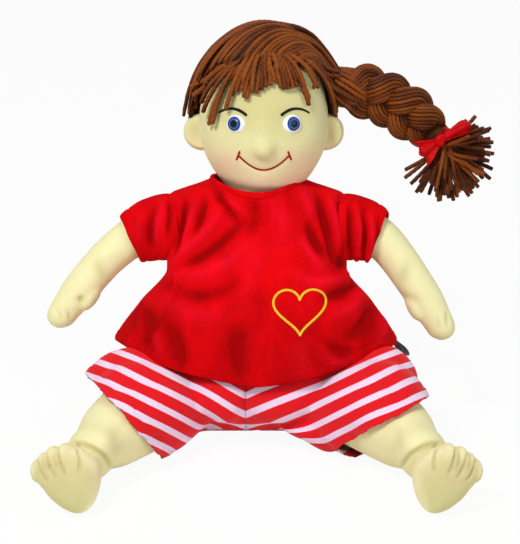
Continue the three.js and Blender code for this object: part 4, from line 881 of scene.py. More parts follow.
def head_point(turn, tilt, grow=0.0):
    """The head's surface from a turn (0 at the face) and a tilt from the crown: above the jaw's
    middle a rounded dome, below it a rounder one, each x^p + z^p = 1 with its own power."""
    up, out = np.cos(tilt), np.sin(tilt)
    high = up > 0
    power = np.where(high, CROWN_POWER, CHIN_POWER)
    flat = (JAW + grow) * np.abs(out) ** (2 / power)
    rise = np.where(high, CROWN + grow, CHIN + grow) * np.sign(up) * np.abs(up) ** (2 / power)
    return np.stack([flat * np.sin(turn), -flat * np.cos(turn), rise + 0 * flat], -1)


def features(x, z):
    """How far the face stands out of the plain head: a nose, fuller cheeks and chin, and hollows
    round the eyes and along the mouth, each a bell."""
    out = 7.4 * np.exp(-(((x / 8.6) ** 2 + ((z - NOSE_Z) / 8.2) ** 2) ** 1.3))
    out += 0.9 * bell(x, z, (0, -2), (6, 12))
    for side in (-1, 1):
        out -= 1.5 * bell(x, z, (side * EYE_X, EYE_Z), (13, 12))
        out += 1.3 * bell(x, z, (side * 31, -19), (15, 12))
    arc = MOUTH_Z - MOUTH_DROP * (1 - np.clip(x / MOUTH_HALF, -1, 1) ** 2)
    out -= 0.8 * bump(z, arc, 2.2) * smooth(MOUTH_HALF + 5, MOUTH_HALF - 3, np.abs(x))
    out += 1.2 * bell(x, z, (0, -45), (17, 9))
    return out


def face(x, z, lift=0.0):
    """A place on the front of the head over x and z, in head places: the dome's flat reach at that
    height, less x by Pythagoras, and the features, all lifted outwards."""
    x, z = np.broadcast_arrays(np.asarray(x, float), np.asarray(z, float))
    high = z > 0
    power = np.where(high, CROWN_POWER, CHIN_POWER)
    share = np.clip(np.abs(z) / np.where(high, CROWN, CHIN), 0, 0.999)
    reach = JAW * (1 - share ** power) ** (1 / power)
    y = -np.sqrt(np.maximum(reach ** 2 - x ** 2, 1))
    here = np.stack([x, y, z], -1)
    out = unit(np.stack([x, y, z * np.where(high, 0.5, 0.95)], -1))
    return here + out * (features(x, z) + lift)[..., None]


def make_head():
    """The stuffed head: its dome with the features pushed out, a seam down the back, blush on the
    cheeks, painted reflected light under the chin and painted shade and shadow on the face.
    """
    rows, columns = 190, 240
    tilt = np.linspace(0.01, np.pi - 0.01, rows)[:, None]
    turn = circle(columns, -np.pi)[None, :]
    base = head_point(turn + 0 * tilt, tilt + 0 * turn)
    x, y, z = base[..., 0], base[..., 1], base[..., 2]
    out = unit(base * np.array([1, 1, 0.8]))
    front = smooth(-8, -22, y)
    back_seam = bump(x, 0, 1.3) * smooth(10, 30, y)
    rise = features(x, z) * front - 1.0 * back_seam
    grid = base + out * rise[..., None]
    cheeks = sum(0.36 * bell(x, z, (s * 33, -24), (14, 12)) for s in (-1, 1))
    # The cheeks' blush is the doll's own colour; the pink under the chin is painted reflected light from
    # the red shirt.
    blush = (cheeks + 0.95 * bump(z, -60, 21)) * smooth(15, -20, y)
    # Painted shade round the eye sockets, the hair's painted shadow over the forehead, painted shade in the
    # seam down the back, and a little over the whole face.
    sockets = sum(0.3 * bell(x, z, (s * EYE_X, EYE_Z + 1), (12, 11)) for s in (-1, 1))
    brow = bell(x, z, (0, 24), (44, 36))
    press = (0.14 + 0.62 * brow + 0.5 * sockets) * front + 0.5 * back_seam
    head = surface("head_stuffed", on_head(grid), "skin_knit",
                   marks={"blush": np.clip(blush, 0, 1), "press": np.clip(press, 0, 1)})
    placed(head, ["head"], "head_and_hair")


def make_neck():
    """A short stuffed neck, round, a little narrower at its middle."""
    heights = np.linspace(0, 1, 24)
    line = HEAD - UPWARD * 71 + UPWARD * (heights[:, None] * 21)
    grid = tube(line, 27 - 1.2 * np.sin(np.pi * heights), 64, round_ends=(False, False))
    neck = surface("neck_stuffed", grid, "skin_knit")
    placed(neck, ["neck"], "neck_plug")


def make_ears():
    """Two stuffed ears: flat rounded pads, dished on the front inside a full rim, sewn at the head."""
    for side, name in SIDES:
        shell = ball((0, 0, 0), np.eye(3), (18, 6.3, 16.3), 60, 72, 2.15)
        x, y, z = shell[..., 0], shell[..., 1], shell[..., 2]
        inside = bell(x, z, (5, -0.5), (7.5, 8.5))
        shell[..., 1] += 2.6 * inside * smooth(1, -1, y)
        rim = ((x - 2) / 15) ** 2 + (z / 15.5) ** 2
        shell[..., 1] -= 0.9 * bump(rim, 0.72, 0.2) * smooth(1, -1, y)
        shell[..., 0] *= side
        grid = spun(shell, math.radians(9 * side), 0, 1) + np.array([side * 52.5, 5.0, -2.5])
        # Painted shade in each ear's dished front, and a little over the whole ear.
        blush = 0.22 * smooth(-2, -15, z) + 0.12 * inside
        ear = surface(f"ear_{name}_stuffed", on_head(grid), "skin_knit",
                      marks={"blush": blush, "press": 0.25 + 0.4 * inside * smooth(1, -1, y)})
        placed(ear, [f"ear_{name}"], "head_and_hair")


def eye_frame(side):
    """Middle, right, up and out of an eye on the face: out is square to two small steps along it."""
    middle = face(side * EYE_X, EYE_Z)
    right = unit(face(side * EYE_X + 4, EYE_Z) - face(side * EYE_X - 4, EYE_Z))
    up = face(side * EYE_X, EYE_Z + 4) - face(side * EYE_X, EYE_Z - 4)
    up = unit(up - (up @ right) * right)
    return middle, right, up, np.cross(right, up)


def make_eyes():
    """Two oval domes: out = dome (1 - r^2)^0.7 over an oval of radius share r, with a rolled rim that
    seats in the skin, and a stem and washer behind."""
    for side, name in SIDES:
        middle, right, up, out = eye_frame(side)
        share = np.concatenate([np.linspace(0.02, 1, 34), [1.03, 1.02, 0.96]])
        rise = np.concatenate([4.2 * (1 - np.linspace(0.02, 1, 34) ** 2) ** 0.7, [-0.5, -1.3, -1.6]])
        angle = circle(72)
        across = share[:, None] * EYE_WIDE / 2 * np.cos(angle)
        tall = share[:, None] * EYE_TALL / 2 * np.sin(angle)
        grid = middle + across[..., None] * right + tall[..., None] * up + (rise[:, None, None] + 0.2) * out
        wide = np.concatenate([across, across[:, :1]], 1) / 10
        high = np.concatenate([tall, tall[:, :1]], 1) / 10
        eye = surface(f"eye_{name}_dome", on_head(grid), "eye_plastic", uv=(wide, high))
        placed(eye, [f"eye_{name}"], "head_and_hair")
        stem = np.linspace(-1.2, -12, 12)
        line = middle + stem[:, None] * out
        rod = on_head(tube(line, np.full(12, 2.0), 24, round_ends=(False, True)))
        rod = surface(f"eye_{name}_stem", rod, "eye_plastic")
        placed(rod, [], "head_and_hair")
        depth = np.array([-4.5, -4.6, -6.4, -6.5, -6.4, -4.6])
        reach = np.array([2.3, 6.7, 6.7, 6.3, 2.3, 2.3])
        spoke = np.cos(angle)[:, None] * right + np.sin(angle)[:, None] * up
        rim = middle + (depth[:, None, None] * out + reach[:, None, None] * spoke)
        washer = surface(f"eye_washer_{name}_ring", on_head(np.concatenate([rim, rim[:1]])),
                         "washer_plastic", caps=(False, False))
        placed(washer, [f"eye_washer_{name}"], "head_and_hair")


def stitched(name, line, widths, look, out, height=0.5):
    """A satin-stitched line: a flat tube along the line that lies on the cloth, with its threads'
    slant in its UV. Out is the cloth's outward direction at each point."""
    place = travelled(line)
    side = unit(np.cross(out, unit(np.gradient(line, axis=0))))
    angle = circle(14)
    share = np.clip(1 - np.minimum(place, place[-1] - place) / 0.9, 0, 0.995)
    half = (np.asarray(widths) / 2 * np.sqrt(1 - share ** 2))[:, None, None]
    grid = (line[:, None] + half * np.cos(angle)[None, :, None] * side[:, None]
            + np.minimum(half, height) * np.sin(angle)[None, :, None] * out[:, None])
    return surface(name, grid, look, uv=band_uv(line, 15))


def on_face(x, z, lift):
    """Row-frame points of a line on the face, and the outward directions there."""
    here = face(x, z, lift)
    right = face(x + 1, z) - face(x - 1, z)
    up = face(x, z + 1) - face(x, z - 1)
    return on_head(here), leaned(unit(np.cross(right, up)))


def make_stitches():
    """Brows: an arc over each eye, thicker at its inner end. Mouth: a parabola with a tick across
    each end."""
    for side, name in SIDES:
        t = np.linspace(-1, 1, 80)
        x = side * (26.5 + 12.2 * t)
        z = 19.6 - 4.6 * t ** 2 + 0.6 * t - 0.6 * (t < 0) * t ** 2
        line, out = on_face(x, z, THREAD_LIFT)
        brow = stitched(f"brow_{name}_stitched", line, 2.5 - 0.7 * smooth(-0.6, 1, t), "black_thread", out)
        placed(brow, [f"brow_{name}"], "head_and_hair")
    t = np.linspace(-1, 1, 150)
    line, out = on_face(MOUTH_HALF * t, MOUTH_Z - MOUTH_DROP * (1 - t ** 2), THREAD_LIFT)
    wide = sizes().stitch * 1000
    mouth = stitched("mouth_arc_stitched", line, np.full(150, wide), "red_thread", out)
    placed(mouth, ["mouth_stitching"], "head_and_hair")
    for side, name in SIDES:
        t = np.linspace(-1, 1, 40)
        line, out = on_face(side * (MOUTH_HALF + 0.4) + side * 1.5 * t * -1, MOUTH_Z + 0.4 + 3.9 * t, 0.3)
        tick = stitched(f"mouth_tick_{name}_stitched", line, np.full(40, wide), "red_thread", out)
        placed(tick, [], "head_and_hair")


# Hair, in the same places. Slopes are degrees at places along the braid.

ROOT = np.array([72.0, 14.0, 36.0])
BRAID_SLOPES = [[0, -8], [32.2, -22], [69, -40], [92, -44], [119.2, -38]]
ROOT_RADIUS = 15.5
TIE_PLACE = 92.3
HAIR_LIFT = 6.0
# The fringe's roots span this turn to each side of the face.
FRINGE_TURN = 0.95


def hairline(turn):
    """Height of the hair's lower edge round the head: over the ears, rising to the brow in front and
    falling to the nape behind, by the head's own depth there."""
    y = -JAW * np.cos(turn)
    return 14 - y * np.where(y < 0, 1.3, 0.62)


def cap_paths():
    """Yarns over the head. Each starts on the hairline and runs along a great arc of the head, drawn
    up towards the crown by 4t(1-t), to its own place in the braid's root. They lie in layers where
    they crowd near the root."""
    rng = np.random.default_rng(3)
    count = sizes().cap_yarns
    steps = 74
    sweep = np.linspace(-1, 1, count)
    turn = -0.12 * np.pi + np.pi * 0.995 * sweep
    turn = np.mod(turn + np.pi, 2 * np.pi) - np.pi
    height = hairline(turn) + rng.uniform(-1.2, 1.2, count)
    front = np.abs(turn) < FRINGE_TURN
    height = np.where(front, 61 - 9 * (turn / FRINGE_TURN) ** 2 + rng.uniform(-2, 2, count), height)
    grow = HAIR_LIFT
    size_of = np.array([JAW + grow, JAW + grow, CROWN + grow])
    share = np.clip(height / (CROWN + grow), -0.95, 0.95)
    reach = np.where(height < 0, np.sqrt(np.clip(1 - (height / (CHIN + grow)) ** 2, 0, 1)),
                     np.sqrt(1 - share ** 2))
    start = np.stack([reach * np.sin(turn), -reach * np.cos(turn), share], -1)
    goal = unit(ROOT / size_of)
    t = np.linspace(0, 1, steps)
    between = np.arccos(np.clip(start @ goal, -0.999, 0.999))[:, None]
    way = (np.sin((1 - t) * between)[..., None] * unit(start)[:, None]
           + np.sin(t * between)[..., None] * goal) / np.sin(between)[..., None]
    far = smooth(0.7, 2.4, between[:, 0])[:, None]
    rise = 4 * t * (1 - t) * (0.10 + 0.75 * far)
    behind = smooth(0.2, 0.9, start[:, 1])[:, None]
    way[..., 2] += rise * (1 - 0.75 * behind)
    way[..., 1] += rise * 0.25 * behind
    way = unit(way)
    below = np.where(way[..., 2] < 0, (CHIN + grow) / (CROWN + grow), 1)
    layer = (np.arange(count) * 7 % 5)[:, None] * 2.6 * smooth(0.55, 0.95, t) * (0.35 + 0.65 * far)
    out = way * size_of
    wide = np.array([-0.06, 0.11, 0.0, 0.06])[np.arange(count) % 4][:, None]
    out[..., 0] *= 1 + wide * smooth(0.1, -0.7, way[..., 0])
    out[..., 2] *= below
    out += unit(way * np.array([1, 1, 0.7])) * layer[..., None]
    angle = np.arctan2(start[:, 2] - goal[2], start[:, 1] - goal[1])
    ringed = ROOT_RADIUS * np.array([0.92, 0.68, 0.42, 0.8, 0.2])[np.arange(count) * 3 % 5]
    place = ROOT + np.stack([np.full(count, -2.0), ringed * np.cos(angle), ringed * np.sin(angle)], -1)
    near = smooth(0.8, 1.0, t)[None, :, None]
    paths = out * (1 - near) + place[:, None] * near
    wobble = rng.normal(0, 0.35, (count, 1, 3)) * np.sin(np.pi * t)[None, :, None]
    wobble = wobble + way * np.array([0.0, 1.9, 0.8])[np.arange(count) % 3][:, None, None]
    return paths + wobble


FRINGE_ROOTS = [
    [-22.7, -41.6, 58.5], [-11.7, -43.2, 62.7], [0.9, -42.7, 66], [17.8, -38.9, 66], [30.6, -32.9, 62.6]]
FRINGE_TIPS = [
    [-63, -15, 37.4], [-61, -16, 30], [-51.1, -29.2, 22.9], [-46.2, -38.8, 5.5], [-42.2, -43.1, 6.5],
    [-48.5, -33, 15], [-36.2, -43.8, 33.4], [-31.2, -50.6, 19], [-29.2, -50.6, 22], [-27, -50.5, 30],
    [-23.4, -51.8, 33.6], [-19, -53.5, 35.5], [-14.6, -56.1, 27.9], [-16.7, -55.3, 29.5],
    [-10, -56, 33.5], [-6.1, -56.6, 32.5], [-2, -56.2, 35.5], [1.5, -55.8, 37.9], [5.7, -55, 39.5],
    [9, -53.4, 42.5], [12.1, -52.2, 44.4], [14.3, -54.2, 37], [17.5, -53.2, 36], [20.7, -52.3, 36.1],
    [24.4, -50.3, 36.9], [28, -48.5, 38], [33.8, -45.6, 34.3], [38, -45.1, 22], [37, -44.6, 27],
    [43, -36, 36], [46.9, -30.7, 36.5], [65.7, -5, 49.3], [59, -8, 45.5], [78, -5, 25], [75.8, -5, 16.5],
    [59.1, -11.5, 11.1], [63.6, -5, 18.6], [66, -3, 33], [71, -4, 29]]


def fringe_paths():
    """Loose fringe yarns: each from the parting to its own tip, along a straight line that is pushed
    out to the head's surface and a little beyond it at the middle, with its tip let go."""
    rng = np.random.default_rng(5)
    tips = np.array(FRINGE_TIPS)
    pick = np.linspace(0, 59, len(tips)).round().astype(int)
    start = curve(FRINGE_ROOTS, 60)[pick] + rng.uniform(-1.2, 1.2, (len(tips), 3))
    t = np.linspace(0, 1, 34)[None, :, None]
    line = start[:, None] * (1 - t) + tips[:, None] * t
    flat = line * np.array([1 / (JAW + 4.5), 1 / (JAW + 4.5), 1 / (CROWN + 4.5)])
    length = np.linalg.norm(flat, axis=-1, keepdims=True)
    onto = line / np.maximum(length, 1e-6)
    lifted = onto + unit(line) * (1.8 * np.sin(np.pi * t) + (np.arange(len(tips)) % 3)[:, None, None] * 1.3)
    free = smooth(0.3, 1, t)
    path = lifted * (1 - free) + np.where(length > 1, line, lifted) * free
    tuck = smooth(0.16, 0, t)
    path = path - unit(line) * tuck * 3.5
    path[..., 2] += (tuck * 4)[..., 0]
    bend = rng.normal(0, 0.9, (len(tips), 1, 3)) * np.sin(np.pi * t) ** 2
    return path + bend


def make_cap():
    """The hair on the head: yarns from the hairline to the braid, over a woven backing that closes the
    gaps between them, darkened as painted shade in those gaps."""
    paths = cap_paths()
    yarn = yarns("hair_cap_yarns", on_head(paths), radius=sizes().yarn * 430, swell=0.07,
                 shade=np.random.default_rng(4).uniform(-0.2, 1.5, len(paths)), core=HEAD)
    placed(yarn, ["hair_cap"], "head_and_hair")
    rows, columns = 60, 120
    turn = circle(columns, -np.pi)[None, :]
    edge = np.where(np.abs(turn) < FRINGE_TURN, 60 - 9 * (turn / FRINGE_TURN) ** 2, hairline(turn))
    share = np.sign(edge) * (np.abs(edge) / (CROWN + 3)) ** (CROWN_POWER / 2)
    lowest = np.arccos(np.clip(share, -0.9, 0.99))
    tilt = 0.01 + (lowest + 0.01) * np.linspace(0, 1, rows)[:, None]
    grid = head_point(turn + 0 * tilt, tilt, 3.2)
    grid[..., 0] *= 1 + 0.09 * smooth(0, -45, grid[..., 0])
    # A sheet in a dark yarn tone: painted shade in the gaps between the yarns.
    backing = surface("hair_backing", on_head(grid), "hair_yarn", caps=(True, False),
                      marks={"shade": np.full((rows, columns), 1.1)})
    placed(backing, [], "head_and_hair")


def make_fringe():
    """Loose cut yarns over the forehead."""
    thick = np.full((len(FRINGE_TIPS), 34), sizes().yarn * 470)
    # Painted shade at the yarns' roots, where they tuck under the cap.
    root = np.broadcast_to(0.9 * smooth(0.2, 0.05, np.linspace(0, 1, 34)), thick.shape)
    thing = yarns("fringe_yarns", on_head(fringe_paths()), radius=thick, ends=0.85, sunk=root,
                  swell=0.1, shade=np.random.default_rng(2).uniform(-0.4, 1.2, len(FRINGE_TIPS)), core=HEAD)
    placed(thing, ["fringe"], "head_and_hair")


def braid_line(count):
    """The braid's middle line: in the head's own upright plane, its slope changing with the length."""
    place = np.linspace(0, 122, count)
    slope = np.radians(along(BRAID_SLOPES, place))
    step = place[1] - place[0]
    x = np.concatenate([[0], np.cumsum(np.cos(slope[1:]) * step)])
    z = np.concatenate([[0], np.cumsum(np.sin(slope[1:]) * step)])
    return ROOT + np.stack([x, 0 * x, z], -1), place


def braid_frame(place):
    """Point, tangent, upper side and front of the braid's line at places along it."""
    line, at = braid_line(400)
    here = sampled(line, at, place)
    slope = np.radians(along(BRAID_SLOPES, place))
    tangent = np.stack([np.cos(slope), 0 * slope, np.sin(slope)], -1)
    upper = np.stack([-np.sin(slope), 0 * slope, np.cos(slope)], -1)
    front = np.broadcast_to([0.0, -1.0, 0.0], tangent.shape)
    return here, tangent, upper, front


PLAIT_PITCH = 66.0
# The plait's flat side is turned up and back, so that its upper row shows more than its lower one.
PLAIT_TURN = math.radians(30)


def strand_line(index, place):
    """One strand of a plait of three: side to side by a sine and front to back by a sine of twice
    the angle, a third of a turn after its neighbour, drawn in at the root and the tie."""
    here, _, upper, front = braid_frame(place)
    turn = 2 * np.pi * (place / PLAIT_PITCH + index / 3 + 0.06)
    loose = smooth(-4, 14, place) * (1 - 0.45 * smooth(TIE_PLACE - 22, TIE_PLACE, place))
    wide = 13.0 * np.sin(turn) * loose
    thick = 7.5 * np.sin(2 * turn) * loose
    side = wide * math.cos(PLAIT_TURN) - thick * math.sin(PLAIT_TURN)
    deep = wide * math.sin(PLAIT_TURN) + thick * math.cos(PLAIT_TURN)
    gather = 1 - smooth(-4, 14, place)
    side = side + 7 * gather * math.sin(2 * np.pi * index / 3)
    deep = deep + 7 * gather * math.cos(2 * np.pi * index / 3)
    return here + side[:, None] * upper + deep[:, None] * front


def make_strands():
    """Three strands, each of yarns in two rings that slowly turn about the strand's own line."""
    count = 90
    place = np.linspace(-3, TIE_PLACE + 3, count)
    for index in range(3):
        line = strand_line(index, place)
        tangent = unit(np.gradient(line, axis=0))
        deep = squared(np.array([0.0, -1.0, 0.0]), tangent)
        across = np.cross(tangent, deep)
        full = (0.62 + 0.38 * smooth(0, 16, place)) * (1 - 0.4 * smooth(TIE_PLACE - 20, TIE_PLACE, place))
        rings = []
        for number, wide, thick in ((19, 10.2, 6.9), (10, 6.0, 3.6)):
            angle = 2 * np.pi * np.arange(number) / number
            turned = angle[:, None] + place[None, :] * 2 * np.pi / 260
            rings.append(line[None] + (wide * full * np.cos(turned))[..., None] * across[None]
                         + (thick * full * np.sin(turned))[..., None] * deep[None])
        paths = np.concatenate(rings)
        thick = np.broadcast_to(sizes().yarn * 385 * (0.8 + 0.2 * full), (len(paths), count))
        core = np.broadcast_to(on_head(line), (len(paths), count, 3))
        # Painted shade on the yarns that lie near the braid's middle, between the strands.
        inside = np.linalg.norm(paths - braid_frame(place)[0], axis=-1)
        strand = yarns(f"braid_strand_{index + 1}_yarns", on_head(paths), radius=thick,
                       sides=8, swell=0.05, core=core, sunk=smooth(15.5, 8.5, inside),
                       shade=np.random.default_rng(30 + index).uniform(0.2, 1.5, len(paths)))
        placed(strand, [f"braid_strand_{index + 1}"], "braid")


def make_root():
    """Yarns that gather from the head into the braid, swelling at the middle of the root."""
    t = np.linspace(0, 1, 26)
    place = t * 33 - 12
    paths = []
    for number, reach in ((20, 15.0), (13, 10.0), (7, 5.0)):
        angle = 2 * np.pi * (np.arange(number) + 0.5 * (number % 2)) / number
        here, tangent, upper, front = braid_frame(place)
        here = here + np.minimum(place, 0)[:, None] * tangent
        wide = reach * (1.0 + 0.06 * np.sin(np.pi * t) - 0.28 * smooth(0.55, 1, t))
        turned = angle[:, None] + 0.9 * t[None]
        paths.append(here + (wide * np.cos(turned))[..., None] * upper
                     + (wide * np.sin(turned))[..., None] * front)
    thing = yarns("braid_root_yarns", on_head(np.concatenate(paths)), swell=0.07,
                  core=on_head(braid_frame(place)[0]))
    placed(thing, ["braid_root"], "braid")


def make_tie():
    """Yarn wound round the end of the braid: a few close turns of a helix."""
    t = np.linspace(0, 1, 150)
    here, _, upper, front = braid_frame(TIE_PLACE + 0.5 + t * 7)
    turn = 2 * np.pi * 3.5 * t
    path = here + (10.6 * np.cos(turn))[:, None] * upper + (9.752 * np.sin(turn))[:, None] * front
    tie = yarns("braid_tie_yarn", on_head(path[None]), radius=1.9)
    placed(tie, ["braid_tie"], "braid")


TASSEL_REACH = 53.0
# A few yarns stray from the fan: their turns round the view and towards it, in degrees.
STRAY_TURNS = [-157, -150, -139, -124, 52, 58]
STRAY_DEPTHS = [-8, 4, -12, -20, -10, 5]


def make_tassel():
    """Cut yarns that fan out of the tie: each leaves along the braid and bends to its own direction,
    as its start plus the mean of the two directions so far, and droops a little."""
    rng = np.random.default_rng(21)
    count = sizes().tassel_yarns
    here, tangent, upper, front = braid_frame(np.array([TIE_PLACE + 5.0]))
    spread = np.linspace(-1, 1, count)
    rng.shuffle(spread)
    turn = np.radians(-40 + 88 * spread)
    turn[:6] = np.radians(STRAY_TURNS)
    deep = np.radians(rng.uniform(-62, 50, count))
    deep[:6] = np.radians(STRAY_DEPTHS)
    goal = np.stack([np.cos(turn) * np.cos(deep), -np.sin(deep), np.sin(turn) * np.cos(deep)], -1)
    reach = TASSEL_REACH * rng.uniform(0.86, 1.05, count) * (1 - 0.12 * np.abs(spread))
    angle = rng.uniform(0, 2 * np.pi, count)
    off = 8.6 * np.sqrt(rng.uniform(0, 1, count))
    start = here + (off * np.cos(angle))[:, None] * upper + (off * np.sin(angle))[:, None] * front
    t = np.linspace(0, 1, 30)[None, :, None]
    first = tangent * (1 - t / 2) * t
    second = goal[:, None] * t * t / 2
    path = start[:, None] + reach[:, None, None] * (first * 0.36 + second * 1.64)
    path[..., 2] -= (5 * t ** 2)[..., 0]
    path += rng.normal(0, 1.6, (count, 1, 3)) * (t * (1.3 - t))
    thick = np.full((count, 30), sizes().yarn * 440)
    thing = yarns("tassel_yarns", on_head(path), radius=thick, ends=0.9, swell=0.08,
                  shade=rng.uniform(0.0, 1.2, count), core=on_head(here + 14 * tangent))
    placed(thing, ["tassel"], "braid")


def ribbon_band(name, spine, wide, across, thick=0.7, pleats=0, depth=0.0, look="satin_ribbon"):
    """A ribbon along a spine: wide holds its width at each point and across its sideways direction.
    Pleats are waves over its width, and the band has a thin closed section."""
    tangent = unit(np.gradient(spine, axis=0))
    across = squared(across, tangent)
    out = np.cross(tangent, across)
    columns = 26
    share = np.linspace(-1, 1, columns)
    wave = depth * np.cos(share * np.pi * pleats) if pleats else 0 * share
    upper = (spine[:, None] + (wide[:, None] / 2 * share)[..., None] * across[:, None]
             + (wave[None, :] * (wide / wide.max())[:, None] + thick / 2)[..., None] * out[:, None])
    lower = upper - thick * out[:, None]
    grid = np.concatenate([upper, lower[:, ::-1]], 1)
    return surface(name, grid, look, uv=band_uv(spine, columns * 2 + 1))


def make_bow():
    """A satin ribbon round the tie with a flat bow at the front: a wrap, two pleated loops and a
    knot over their middles."""
    t = np.linspace(0, 1, 90)
    here, tangent, upper, front = braid_frame(np.full(90, TIE_PLACE + 4.0))
    turn = 2 * np.pi * t
    spine = on_head(here + (13.4 * np.cos(turn))[:, None] * upper + (12.6 * np.sin(turn))[:, None] * front)
    wrap = ribbon_band("ribbon_wrap_satin", spine, np.full(90, 8.5), leaned(tangent), pleats=2, depth=0.5)
    placed(wrap, ["ribbon_wrap"], "braid")
    here, tangent, upper, front = (part[0] for part in braid_frame(np.array([TIE_PLACE + 3.5])))
    centre = here + front * 16.5
    for name, angle, size, wide, deep in (("upper", 30, 29, 15, 4.4), ("lower", 215, 20, 25, 4.0)):
        way = np.array([math.cos(math.radians(angle)), 0, math.sin(math.radians(angle))])
        square = np.array([-way[2], 0, way[0]])
        t = np.linspace(0, 1, 80)
        reach = size * np.sin(np.pi * t) ** 0.6
        depth = deep * np.sin(2 * np.pi * t)
        spine = centre + reach[:, None] * way + (depth + 0.6)[:, None] * front
        width = 5.0 + (wide - 5.0) * (reach / size) ** 1.1
        if name == "upper":
            width = width * (1 - 0.45 * (reach / size) ** 8)
        loop = ribbon_band(f"bow_loop_{name}_satin", on_head(spine), width, leaned(square),
                           pleats=1 if name == "upper" else 2, depth=1.6)
        placed(loop, [f"bow_loop_{name}"], "braid")
    knot = ball((0, 0, 0), np.eye(3), (4.6, 3.6, 5.6), 40, 48, 2.5)
    groove = np.cos(knot[..., 0] * 1.5) * 0.35
    knot = knot * (1 + 0.05 * groove[..., None])
    knot = spun(knot, math.radians(-25), 0, 2) + centre + front
    thing = surface("bow_knot_satin", on_head(knot), "satin_ribbon")
    placed(thing, ["bow_knot"], "braid")


# Trunk and shirt. Half widths, half depths and ring powers stand beside heights along the trunk.

TRUNK_WIDTHS = [[-6, 52], [12, 70], [82, 86], [150, 76], [205, 75], [211, 69], [216, 44]]
TRUNK_DEPTHS = [[-6, 28], [6, 42], [26, 52], [82, 61], [150, 50], [209, 32], [216, 34]]
TRUNK_POWERS = [[0, 2.4], [82, 2.2], [150, 3], [209, 3.2], [216, 2.4]]
SHIRT_WIDTHS = [
    [57, 132], [86, 124], [118, 102.2], [150, 77.2], [210, 77], [215, 73.5], [220, 61], [224, 49],
    [228, 39]]
SHIRT_DEPTHS = [[57, 77], [88, 71.9], [150, 54.9], [206, 39.5], [214, 38.5], [221, 39], [228, 38]]
SHIRT_POWERS = [[57, 2], [118, 2.1], [150, 3], [209, 3.1], [216, 2.5], [224, 2]]
COLLAR_HEIGHT = 228.0
NECK_DIP = 12.0
LAP = math.radians(8.5)

# Strokes for folds: width, height, then places across and down the photograph
SHIRT_FOLDS = [
    (3.0, -4.6, 185, 200, 182, 226, 175, 256),
    (4.0, 3.4, 195, 200, 190, 222, 181, 246),
    (5.5, 4.8, 173, 262, 190, 246, 208, 230, 222, 208),
    (3.6, -3.2, 205, 196, 202, 216, 194, 236),
    (5.0, -3.8, 178, 268, 200, 258, 220, 244, 244, 222),
    (8, 3.6, 172, 274, 200, 274, 228, 262, 254, 240),
    (7, -2.8, 165, 283, 192, 296, 222, 292, 246, 276),
    (9, 2.6, 240, 300, 250, 275, 264, 246),
    (10, 2.4, 158, 298, 190, 314, 228, 316),
    (6, -3.2, 143, 306, 150, 326, 146, 346),
    (8, -2.8, 166, 322, 176, 342, 182, 366),
    (5, 2.4, 152, 330, 158, 344, 160, 356),
    (4.6, -4.2, 214, 186, 224, 204, 238, 220),
    (5.0, 3.2, 226, 192, 234, 206, 248, 216),
    (6, -2.6, 252, 198, 256, 216, 250, 236),
    (9, 3.0, 272, 198, 282, 222, 284, 246),
    (6, 3.6, 300, 188, 308, 204, 312, 222),
    (4.0, -5.6, 318, 192, 323, 216, 330, 240, 334, 262),
    (4.6, -4.6, 308, 222, 314, 240, 324, 256),
    (5.0, 4.6, 300, 236, 310, 254, 326, 272),
    (4.2, 4.2, 330, 196, 335, 222, 342, 250),
    (2.8, -4.6, 340, 196, 341, 226, 346, 256),
    (5, -4.6, 342, 255, 343, 262, 341, 270),
    (6.5, 4.0, 356, 268, 338, 279, 318, 283, 294, 274),
    (6, -3.8, 360, 277, 344, 292, 320, 299),
    (8, 3.4, 364, 286, 352, 306, 330, 318),
    (7, -3.6, 374, 302, 366, 322, 350, 338),
    (5, 3.2, 378, 314, 383, 330, 378, 346),
    (5, -3.0, 326, 340, 337, 350, 352, 352),
    (5, 2.4, 322, 352, 334, 362, 352, 362),
    (9, 1.8, 296, 340, 302, 358, 300, 376),
    (10, -2.2, 238, 330, 238, 352, 242, 380),
]
SLEEVE_FOLDS = [
    (3, -3.6, 172, 192, 170, 214, 167, 240),
    (4.4, 3.2, 164, 198, 159, 222, 158, 246),
    (3.6, -2.8, 153, 206, 150, 226, 152, 250),
    (4, 2.2, 141, 212, 138, 232, 143, 250),
    (3.2, -4.6, 350, 203, 351, 234, 350, 262),
    (3.6, 3.8, 357, 206, 359, 236, 356, 266),
    (3.2, -4.2, 365, 210, 365, 238, 361, 266),
    (3.6, 3.4, 372, 213, 372, 238, 367, 268),
    (3.0, -3.2, 380, 217, 377, 242, 371, 266),
]


def torso_grid(grow=0.0, held=0.0):
    """The stuffed trunk: rounded-box rings by height, leaned back, no lower than the floor. Held is
    how much the clothes squeeze it in between the seat and the shoulders."""
    height = np.concatenate([[-6, -5.6], np.linspace(-4, 208, 60), [210, 212, 214, 215.4, 216]])
    grow = grow - held * smooth(-6, 4, height)[:, None]
    sunk = held * 0.7 * smooth(150, 216, height)
    angle = circle(120, -np.pi)
    x, y = ring(angle[None], along(TRUNK_WIDTHS, height)[:, None] + grow,
                along(TRUNK_DEPTHS, height)[:, None] + grow, along(TRUNK_POWERS, height)[:, None])
    y = y * np.where(y < 0, 1 - 0.34 * smooth(34, -4, height)[:, None], 1)
    grid = leaned(np.stack([x, y, np.broadcast_to((height - sunk)[:, None], x.shape)], -1))
    grid[..., 2] = np.maximum(grid[..., 2], 0.8)
    return grid


BODY_TUCK = 13


def tucked(points, rise):
    """Points of the seat and the thighs, their lower front raised by that many millimetres: it rounds
    under between the legs and stands a little off the floor there."""
    x, y, z = np.moveaxis(points, -1, 0)
    under = smooth(34, 4, z) * smooth(2, -18, y) * smooth(66, 38, np.abs(x))
    return points + (rise * under)[..., None] * np.array([0, 0, 1.0])


